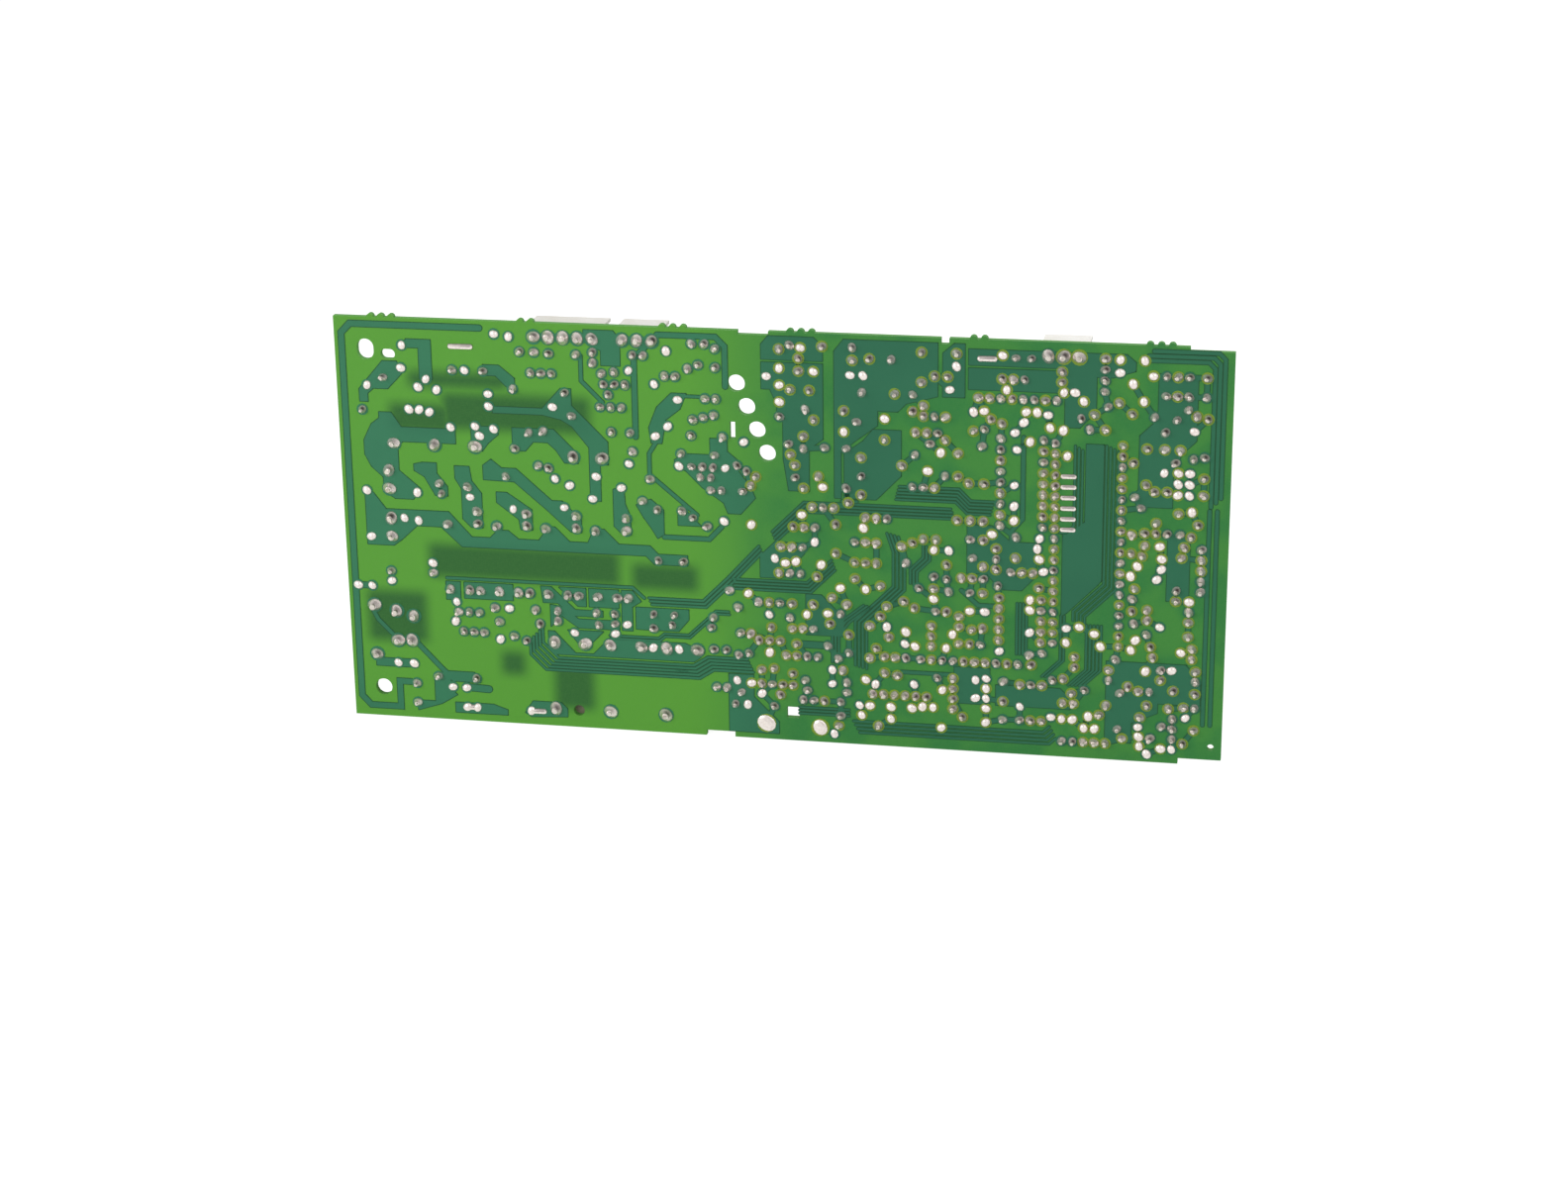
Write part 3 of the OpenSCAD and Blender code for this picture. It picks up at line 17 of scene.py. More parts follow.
import bmesh
import bpy
import numpy as np
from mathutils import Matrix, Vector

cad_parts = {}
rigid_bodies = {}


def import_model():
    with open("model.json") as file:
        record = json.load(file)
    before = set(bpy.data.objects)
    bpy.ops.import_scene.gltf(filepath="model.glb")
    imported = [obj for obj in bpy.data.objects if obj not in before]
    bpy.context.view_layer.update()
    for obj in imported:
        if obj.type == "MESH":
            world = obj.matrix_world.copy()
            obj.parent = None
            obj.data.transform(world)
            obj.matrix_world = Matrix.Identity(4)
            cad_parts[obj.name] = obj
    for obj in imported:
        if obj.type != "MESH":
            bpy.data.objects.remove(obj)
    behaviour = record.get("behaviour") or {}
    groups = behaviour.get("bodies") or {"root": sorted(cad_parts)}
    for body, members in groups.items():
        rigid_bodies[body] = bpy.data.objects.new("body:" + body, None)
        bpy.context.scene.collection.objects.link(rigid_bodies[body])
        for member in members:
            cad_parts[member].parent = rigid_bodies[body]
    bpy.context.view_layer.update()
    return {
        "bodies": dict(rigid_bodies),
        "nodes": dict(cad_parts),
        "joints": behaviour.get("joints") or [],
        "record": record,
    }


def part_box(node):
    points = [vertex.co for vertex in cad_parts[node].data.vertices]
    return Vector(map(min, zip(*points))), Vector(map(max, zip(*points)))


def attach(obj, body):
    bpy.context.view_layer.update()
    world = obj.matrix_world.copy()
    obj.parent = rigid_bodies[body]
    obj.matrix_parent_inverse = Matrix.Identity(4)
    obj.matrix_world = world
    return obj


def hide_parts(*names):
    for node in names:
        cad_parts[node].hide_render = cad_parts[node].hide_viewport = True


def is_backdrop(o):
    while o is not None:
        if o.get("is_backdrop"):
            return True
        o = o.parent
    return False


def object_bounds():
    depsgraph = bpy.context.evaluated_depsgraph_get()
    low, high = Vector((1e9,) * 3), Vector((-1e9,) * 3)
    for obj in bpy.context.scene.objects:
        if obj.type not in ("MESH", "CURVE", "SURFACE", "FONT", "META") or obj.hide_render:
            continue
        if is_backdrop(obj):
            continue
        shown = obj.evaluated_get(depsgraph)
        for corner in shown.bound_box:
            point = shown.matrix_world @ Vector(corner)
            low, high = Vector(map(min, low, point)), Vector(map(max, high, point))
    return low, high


LOG = logging.getLogger("control_board")
MM = 0.001
BODY = "root"
SEED = 11

Colour = tuple[float, float, float]
Point = tuple[float, float, float]
Pairs = tuple[tuple[float, float], ...]
Operand = Union["Shade", float]

WHITE: Colour = (1.0, 1.0, 1.0)


def srgb(red: int, green: int, blue: int) -> Colour:
    """Makes a screen colour linear: ((c / 255 + 0.055) / 1.055) to the power 2.4 a channel."""
    return tuple(((c / 255 + 0.055) / 1.055) ** 2.4 for c in (red, green, blue))


# ---- materials as expressions ----

class Shade:
    """One output of a material's node tree. Python's operators on it add Math nodes."""

    def __init__(self, tree: "Tree", socket: bpy.types.NodeSocket) -> None:
        """Wraps one output socket of a tree."""
        self.tree = tree
        self.socket = socket

    def _math(self, operation: str, *values: Operand) -> "Shade":
        """Adds one Math node and returns its result."""
        return self.tree.node("ShaderNodeMath", {"operation": operation}, dict(enumerate(values)))

    def __add__(self, other: Operand) -> "Shade":
        """Sum."""
        return self._math("ADD", self, other)

    __radd__ = __add__

    def __sub__(self, other: Operand) -> "Shade":
        """Difference."""
        return self._math("SUBTRACT", self, other)

    def __rsub__(self, other: Operand) -> "Shade":
        """Difference, taken from a number."""
        return self._math("SUBTRACT", other, self)

    def __mul__(self, other: Operand) -> "Shade":
        """Product."""
        return self._math("MULTIPLY", self, other)

    __rmul__ = __mul__

    def __truediv__(self, other: Operand) -> "Shade":
        """Quotient."""
        return self._math("DIVIDE", self, other)

    def __rtruediv__(self, other: Operand) -> "Shade":
        """Quotient, with a number on top."""
        return self._math("DIVIDE", other, self)

    def __abs__(self) -> "Shade":
        """Size without its sign."""
        return self._math("ABSOLUTE", self)

    def __or__(self, other: Operand) -> "Shade":
        """The larger of two masks, which covers both."""
        return self._math("MAXIMUM", self, other)

    __ror__ = __or__

    def sine(self) -> "Shade":
        """Sine of an angle in radians."""
        return self._math("SINE", self)

    def above(self, level: float) -> "Shade":
        """1 where the value is over a level, else 0."""
        return self._math("GREATER_THAN", self, level)

    def ramp(self, low: float, high: float, start: float = 0.0, end: float = 1.0) -> "Shade":
        """Runs smoothly from start to end while the value goes from low to high."""
        return self.tree.node("ShaderNodeMapRange", {"interpolation_type": "SMOOTHSTEP"},
                              {0: self, 1: low, 2: high, 3: start, 4: end})


class Tree:
    """The node tree of one material, or of the world."""

    def __init__(self, name: str, world: Optional[bpy.types.World] = None) -> None:
        """Makes an empty tree with an output.

        Args:
            name: the name of the material that is made for it.
            world: the world that gets the tree instead.
        """
        self.material = world or bpy.data.materials.new(name)
        self.material.use_nodes = True
        self.links = self.material.node_tree.links
        self.nodes = self.material.node_tree.nodes
        self.nodes.clear()
        self.end = self.nodes.new("ShaderNodeOutputWorld" if world else "ShaderNodeOutputMaterial")

    def node(self, kind: str, settings: dict[str, Any], inputs: dict[Any, Any],
             output: Union[int, str] = 0) -> Shade:
        """Adds a node of any kind.

        Args:
            kind: the node's type.
            settings: its properties, set before its sockets are; "stops" fills a colour ramp
                with plain steps.
            inputs: a value, colour or Shade for each socket that is named or numbered.
            output: which of its outputs is returned.

        Returns:
            That output.
        """
        made = self.nodes.new(kind)
        for key, value in settings.items():
            if key == "stops":
                made.color_ramp.interpolation = "CONSTANT"
                while len(made.color_ramp.elements) < len(value):
                    made.color_ramp.elements.new(0.5)
                for stop, (place, colour) in zip(made.color_ramp.elements, value):
                    stop.position = place
                    stop.color = (*colour, 1)
            else:
                setattr(made, key, value)
        for key, value in inputs.items():
            if isinstance(value, Shade):
                self.links.new(value.socket, made.inputs[key])
            elif isinstance(value, tuple) and len(value) == 3 and made.inputs[key].type == "RGBA":
                made.inputs[key].default_value = (*value, 1)
            else:
                made.inputs[key].default_value = value
        return Shade(self, made.outputs[output])

    def place(self) -> Shade:
        """The point on the object, in metres."""
        return self.node("ShaderNodeTexCoord", {}, {}, "Object")

    def axes(self) -> tuple[Shade, Shade, Shade]:
        """The point's x, y and z, in metres."""
        split = self.node("ShaderNodeSeparateXYZ", {}, {0: self.place()})
        outputs = split.socket.node.outputs
        return Shade(self, outputs[0]), Shade(self, outputs[1]), Shade(self, outputs[2])

    def noise(self, size: float, detail: float = 3.0, stretch: Point = (1, 1, 1)) -> Shade:
        """Smooth noise from 0 to 1.

        Args:
            size: the width of one blotch, in metres.
            detail: how many finer layers are added.
            stretch: how often it repeats along each axis, as a share of the usual.

        Returns:
            The noise.
        """
        drawn = self.node("ShaderNodeMapping", {}, {"Vector": self.place(), "Scale": stretch})
        return self.node("ShaderNodeTexNoise", {},
                         {"Vector": drawn, "Scale": 1 / size, "Detail": detail})

    def attribute(self, name: str) -> Shade:
        """A number that the mesh holds at each of its points."""
        return self.node("ShaderNodeAttribute", {"attribute_name": name}, {}, "Fac")

    def blend(self, share: Operand, first: Any, second: Any) -> Shade:
        """Mixes two colours: a share of 0 gives the first, and 1 the second."""
        return self.node("ShaderNodeMix", {"data_type": "RGBA"}, {0: share, 6: first, 7: second}, 2)

    def bump(self, height: Shade, depth: float, strength: float = 1.0) -> Shade:
        """Bends the normal by a height of 0 to 1, where 1 stands out by the depth, in metres."""
        return self.node("ShaderNodeBump", {},
                         {"Height": height, "Distance": depth, "Strength": strength})

    def surface(self, **inputs: Any) -> bpy.types.Material:
        """Ends the tree in a principled shader.

        Args:
            **inputs: its sockets, with underscores for the spaces in their names.

        Returns:
            The finished material.
        """
        shader = self.node("ShaderNodeBsdfPrincipled", {},
                           {key.replace("_", " "): value for key, value in inputs.items()})
        self.links.new(shader.socket, self.end.inputs[0])
        return self.material


# ---- finishes ----

@dataclass(frozen=True)
class Metal:
    """A plated or solid metal with a little tarnish."""

    name: str
    colour: Colour
    tarnish: Colour
    rough: float = 0.3
    grain: float = 0.8 * MM

    def build(self) -> bpy.types.Material:
        """Makes the material: the tarnish gathers in soft blotches of the grain's size."""
        tree = Tree(self.name)
        blotch = tree.noise(self.grain * 3, 4).ramp(0.42, 0.68)
        fine = tree.noise(self.grain / 4)
        return tree.surface(Base_Color=tree.blend(blotch * 0.6, self.colour, self.tarnish),
                            Metallic=1.0, Roughness=fine * 0.2 + self.rough,
                            Normal=tree.bump(fine, 0.02 * MM, 0.5))


@dataclass(frozen=True)
class Moulding:
    """Moulded plastic with a fine grain and a faint cloudiness."""

    name: str
    colour: Colour
    cloud: Colour
    rough: float = 0.4
    grain: float = 0.25 * MM
    relief: float = 0.015 * MM
    cloud_size: float = 6 * MM

    def build(self) -> bpy.types.Material:
        """Makes the material: soft clouds of the second colour under a fine pimpled grain."""
        tree = Tree(self.name)
        cloud = tree.noise(self.cloud_size, 4).ramp(0.35, 0.7)
        grain = tree.noise(self.grain)
        return tree.surface(Base_Color=tree.blend(cloud, self.colour, self.cloud),
                            Roughness=grain * 0.15 + self.rough,
                            Normal=tree.bump(grain, self.relief))


@dataclass(frozen=True)
class Laminations:
    """The edges of stacked core plates under a dark varnish. They are stacked along z."""

    name: str = "core_steel"
    steel: Colour = srgb(86, 82, 78)
    varnish: Colour = srgb(34, 32, 31)
    rust: Colour = srgb(78, 56, 42)
    plate: float = 0.5 * MM

    def build(self) -> bpy.types.Material:
        """Makes the material: a sine along the stack gives each plate its edge."""
        tree = Tree(self.name)
        _, _, z = tree.axes()
        edge = ((z / self.plate) * math.tau).sine() * 0.5 + 0.5
        spots = tree.noise(4 * MM, 5).ramp(0.45, 0.75)
        colour = tree.blend(edge, self.varnish, self.steel)
        return tree.surface(Base_Color=tree.blend(spots * 0.5, colour, self.rust),
                            Metallic=0.35, Roughness=0.45,
                            Normal=tree.bump(edge, 0.05 * MM, 0.6))


@dataclass(frozen=True)
class Winding:
    """Turns of enamelled wire, or tape laid over them."""

    name: str
    colour: Colour
    # the painted shade in the troughs between turns
    gap: Colour
    pitch: float
    depth: float
    rough: float = 0.3

    def build(self) -> bpy.types.Material:
        """Makes the material: a sine along y, away from the board, lays turn beside turn, with the
        gap colour as painted shade between turns.
        """
        tree = Tree(self.name)
        _, y, _ = tree.axes()
        turn = ((y / self.pitch) * math.tau).sine() * 0.5 + 0.5
        wander = tree.noise(3 * MM, 3)
        lit = turn * 0.8 + wander * 0.2
        return tree.surface(Base_Color=tree.blend(lit, self.gap, self.colour),
                            Roughness=self.rough, Coat_Weight=0.3,
                            Normal=tree.bump(turn, self.depth))


class Tint(Enum):
    """Colours of the laminate, the lacquered copper and the solder."""

    LIT_LAMINATE = srgb(100, 178, 60)
    MID_LAMINATE = srgb(52, 136, 66)
    # painted shadow: the laminate where a big part behind keeps the light out
    PAINTED_SHADOW_LAMINATE = srgb(24, 88, 44)
    EDGE_LAMINATE = srgb(104, 168, 84)
    OPEN_COPPER = srgb(56, 134, 96)
    SHADED_COPPER = srgb(34, 106, 76)
    # painted shade along the lacquer's step round each area and track
    STEP_SHADE = srgb(20, 82, 46)
    BARE_RING = srgb(134, 166, 52)
    SOLDER = srgb(250, 240, 234)
    DULL_SOLDER = srgb(226, 212, 206)
    # painted shade on the solder, dark on one side of each lead
    PAINTED_SHADE = srgb(40, 24, 18)
    CUT_END = srgb(206, 192, 182)


@dataclass(frozen=True)
class Shadow:
    """A soft-edged box on the face of the board, where a big part behind keeps the light out."""

    left: float
    right: float
    low: float
    high: float
    soft: float = 2.2 * MM

    def mask(self, x: Shade, z: Shade) -> Shade:
        """Works out the box as a mask.

        Args:
            x, z: the point's place on the board.

        Returns:
            1 inside the box and 0 outside. Along each axis the mask falls smoothly where the
            distance from the middle passes half the width, and the two are multiplied.
        """
        across, along = (
            abs(at - (start + end) / 2).ramp((end - start) / 2 - self.soft,
                                             (end - start) / 2 + self.soft, 1, 0)
            for at, start, end in ((x, self.left, self.right), (z, self.low, self.high)))
        return across * along


@dataclass(frozen=True)
class BoardFinish:
    """Laminate and lacquered copper, darker where big parts behind keep the light out."""

    shadows: tuple[Shadow, ...] = (
        Shadow(0.013, 0.060, 0.029, 0.0375), Shadow(0.063, 0.079, 0.0285, 0.035),
        Shadow(-0.003, 0.012, 0.012, 0.025), Shadow(0.043, 0.053, -0.003, 0.008),
        Shadow(0.030, 0.036, 0.005, 0.011), Shadow(0.005, 0.020, 0.065, 0.072),
        Shadow(0.018, 0.054, 0.066, 0.075), Shadow(0.010, 0.034, 0.076, 0.080))
    busy_from: float = 0.085                # the fine tracks begin here, along x
    thickness: float = 1.6 * MM
    skin: float = 0.06 * MM                 # depth of a face, before the cut edge begins
    weave: float = 1.2 * MM                 # length of a glass fibre's streak
    laminate_patch: float = 14 * MM
    foil_patch: float = 25 * MM
    ripple: float = 2.5 * MM                # of the lacquer

    def shade(self, tree: Tree) -> Shade:
        """The darkest of all the shadows at each point, from 0 to 1."""
        x, _, z = tree.axes()
        total = self.shadows[0].mask(x, z)
        for shadow in self.shadows[1:]:
            total = total | shadow.mask(x, z)
        return total

    def laminate(self) -> bpy.types.Material:
        """Makes the laminate: bright where light comes through, dark behind big parts."""
        tree = Tree("laminate")
        x, y, _ = tree.axes()
        front = 1 - y.above(self.thickness / 2)
        busy = x.ramp(self.busy_from - 0.01, self.busy_from + 0.02) * front
        patch = tree.noise(self.laminate_patch, 2).ramp(0.4, 0.62)
        warp, weft = (tree.noise(self.weave, 2, stretch) for stretch in ((1, 1, 6), (6, 1, 1)))
        fibre = warp * 0.5 + weft * 0.5
        open_part = tree.blend(busy * (0.7 + patch * 0.3), Tint.LIT_LAMINATE.value,
                               Tint.MID_LAMINATE.value)
        # Painted shadow of the big parts behind, on the front face only.
        shaded = tree.blend(self.shade(tree) * front * 0.85, open_part, Tint.PAINTED_SHADOW_LAMINATE.value)
        colour = tree.blend((1 - front) * 0.5, shaded, Tint.MID_LAMINATE.value)
        face = tree.blend(fibre.ramp(0.35, 0.65) * 0.12, colour, Tint.EDGE_LAMINATE.value)
        cut = y.above(self.skin) * (1 - y.above(self.thickness - self.skin))
        return tree.surface(Base_Color=tree.blend(cut * 0.6, face, Tint.EDGE_LAMINATE.value),
                            Roughness=0.5 + cut * 0.3, Specular_IOR_Level=0.3,
                            Normal=tree.bump(fibre, 0.02 * MM, 0.6))

    def lacquer(self) -> bpy.types.Material:
        """Makes the lacquered copper: teal, darker at the busy end and behind big parts."""
        tree = Tree("lacquered_foil")
        x, _, _ = tree.axes()
        busy = x.ramp(self.busy_from - 0.005, self.busy_from + 0.02)
        patch = tree.noise(self.foil_patch, 2).ramp(0.35, 0.7)
        colour = tree.blend(busy * 0.6 + patch * 0.15, Tint.OPEN_COPPER.value,
                            Tint.SHADED_COPPER.value)
        ripple = tree.noise(self.ripple, 2)
        # Painted shadow where big parts behind keep the light out.
        shadowed = tree.blend(self.shade(tree) * 0.3, colour, Tint.SHADED_COPPER.value)
        # Painted shade along the step round each area and track.
        edged = tree.blend(tree.attribute("rim"), shadowed, Tint.STEP_SHADE.value)
        return tree.surface(Base_Color=tree.blend(tree.attribute("bare"), edged,
                                                  Tint.BARE_RING.value),
                            Roughness=0.44 + ripple * 0.12, Specular_IOR_Level=0.35,
                            Normal=tree.bump(ripple, 0.03 * MM, 0.5))


@dataclass(frozen=True)
class Solder:
    """Solder that is bright on the crown, with painted shade on one side of each lead."""

    name: str = "solder"

    def build(self) -> bpy.types.Material:
        """Makes the material from the mesh's own painted shade and tip values."""
        tree = Tree(self.name)
        flux = tree.attribute("flux")
        tip = tree.attribute("tip")
        grain = tree.noise(0.5 * MM, 4)
        bright = tree.blend(grain.ramp(0.42, 0.66) * 0.7, Tint.SOLDER.value,
                            Tint.DULL_SOLDER.value)
        # Painted shade on one side of each joint.
        with_painted_shade = tree.blend(flux, bright, Tint.PAINTED_SHADE.value)
        return tree.surface(Base_Color=tree.blend(tip, with_painted_shade, Tint.CUT_END.value),
                            Metallic=0.7 - flux * 0.5,
                            Roughness=0.14 + grain * 0.16 + flux * 0.3,
                            Normal=tree.bump(grain, 0.05 * MM, 0.5))


@dataclass(frozen=True)
class Banded:
    """Lacquer of an axial part, with a painted ring wherever the mesh says so."""

    name: str
    coat: Colour
    stops: tuple[tuple[float, Colour], ...]
    rough: float = 0.35
    worn: Colour = srgb(120, 92, 60)

    def build(self) -> bpy.types.Material:
        """Makes the material: ring is 0 on bare lacquer, else it picks the paint."""
        tree = Tree(self.name)
        ring = tree.attribute("ring")
        paint = tree.node("ShaderNodeValToRGB", {"stops": self.stops}, {0: ring})
        wear = tree.noise(0.8 * MM, 4)
        lacquer = tree.blend(wear.ramp(0.4, 0.8) * 0.25, self.coat, self.worn)
        return tree.surface(Base_Color=tree.blend(ring.above(0.01), lacquer, paint),
                            Roughness=self.rough + wear * 0.15,
                            Coat_Weight=0.4, Normal=tree.bump(wear, 0.03 * MM, 0.4))


# ---- meshes ----

WELD = 0.001 * MM                           # points nearer than this are one point


def around(sides: int) -> np.ndarray:
    """The angles of a ring of points, from 0 up to a full turn."""
    return np.linspace(0, math.tau, sides, endpoint=False)


@dataclass
class Solid:
    """One separate solid of a CAD node: its box and its longest direction, in metres."""

    low: np.ndarray
    high: np.ndarray
    axis: np.ndarray

    @property
    def middle(self) -> np.ndarray:
        """Centre of the box."""
        return (self.low + self.high) / 2


def solids_of(node: bpy.types.Object) -> list[Solid]:
    """Splits a CAD node into its separate solids.

    Args:
        node: the node's object.

    Returns:
        One entry a solid, in the order of their places along x. Points at one place are
        welded, and every triangle passes its lowest label to its corners until no label
        changes. A solid's axis is the direction in which its points spread most.
    """
    mesh = node.data
    points = np.empty(len(mesh.vertices) * 3)
    mesh.vertices.foreach_get("co", points)
    points = points.reshape(-1, 3)
    corners = np.empty(len(mesh.loops), dtype=np.int64)
    mesh.loops.foreach_get("vertex_index", corners)
    _, first, weld = np.unique(np.round(points / WELD).astype(np.int64), axis=0,
                               return_index=True, return_inverse=True)
    weld = weld.ravel()
    points = points[first]
    triangles = weld[corners].reshape(-1, 3)
    label = np.arange(len(points))
    while True:
        lowest = label[triangles].min(axis=1)
        fresh = label.copy()
        for side in range(3):
            np.minimum.at(fresh, triangles[:, side], lowest)
        fresh = fresh[fresh]
        if np.array_equal(fresh, label):
            break
        label = fresh
    _, own = np.unique(label, return_inverse=True)
    own = own.ravel()
    count = own.max() + 1
    low = np.full((count, 3), np.inf)
    high = np.full((count, 3), -np.inf)
    np.minimum.at(low, own, points)
    np.maximum.at(high, own, points)
    away = points - ((low + high) / 2)[own]
    spread = np.zeros((count, 3, 3))
    np.add.at(spread, own, away[:, :, None] * away[:, None, :])
    axis = np.linalg.eigh(spread)[1][:, :, -1]
    order = np.lexsort((low[:, 2], low[:, 0]))
    return [Solid(low[i], high[i], axis[i]) for i in order]


def make_object(name: str, points: np.ndarray, faces: list[list[int]],
                values: dict[str, np.ndarray], smooth: bool = False) -> bpy.types.Object:
    """Puts points and faces into a new object, with its faces turned outwards.

    Args:
        name: the piece's name.
        points: the points, in metres.
        faces: the corners of each face.
        values: numbers for the points.
        smooth: shades the faces as one rounded surface.

    Returns:
        The object.
    """
    mesh = bpy.data.meshes.new(name)
    mesh.from_pydata(points.tolist(), [], faces)
    for key, value in values.items():
        layer = mesh.attributes.new(key, "FLOAT", "POINT")
        layer.data.foreach_set("value", value.astype(np.float32))
    shell = bmesh.new()
    shell.from_mesh(mesh)
    bmesh.ops.recalc_face_normals(shell, faces=shell.faces)
    shell.to_mesh(mesh)
    shell.free()
    mesh.polygons.foreach_set("use_smooth", np.full(len(mesh.polygons), smooth))
    made = bpy.data.objects.new(name, mesh)
    bpy.context.collection.objects.link(made)
    return made


def grid_mesh(name: str, points: np.ndarray, values: dict[str, np.ndarray]) -> bpy.types.Object:
    """Makes one object from many grids that are closed round their second axis.

    Args:
        name: the piece's name.
        points: an array of grids, rows, columns and x y z.
        values: numbers for the points, each of grids, rows and columns.

    Returns:
        The object. Row i and column j of a grid join row i + 1 and column j + 1, with the
        columns wrapped round, and a pole at the middle of its first and its last row closes it.
        The faces are listed as whole arrays.
    """
    count, rows, columns, _ = points.shape
    index = np.arange(count * rows * columns).reshape(count, rows, columns)
    right = np.roll(index, -1, axis=2)
    quads = np.stack([index[:, :-1], right[:, :-1], right[:, 1:], index[:, 1:]], axis=-1)
    faces = quads.reshape(-1, 4).tolist()
    flat = [points.reshape(-1, 3)]
    for side, row in enumerate((0, -1)):
        pole = (count * (rows * columns + side) + np.arange(count))[:, None]
        ends = np.stack([index[:, row], right[:, row], np.broadcast_to(pole, (count, columns))],
                        axis=-1)
        faces += ends.reshape(-1, 3).tolist()
        flat.append(points[:, row].mean(axis=1))
    filled = {key: np.concatenate([value.reshape(-1), value[:, 0].mean(axis=1),
                                   value[:, -1].mean(axis=1)])
              for key, value in values.items()}
    return make_object(name, np.concatenate(flat), faces, filled, smooth=True)


def settle(piece: bpy.types.Object, finish: bpy.types.Material, slot: str,
           *nodes: str) -> None:
    """Dresses a new piece, lets it stand for CAD nodes and rides it on the board.

    Args:
        piece: the new object.
        finish: its material.
        slot: the record's slot that its finish belongs to; not used.
        *nodes: the CAD nodes that it stands for.
    """
    piece.data.materials.append(finish)
    if nodes:
        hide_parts(*nodes)
    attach(piece, BODY)
    LOG.info("%s: %d faces", piece.name, len(piece.data.polygons))


# ---- the foil ----

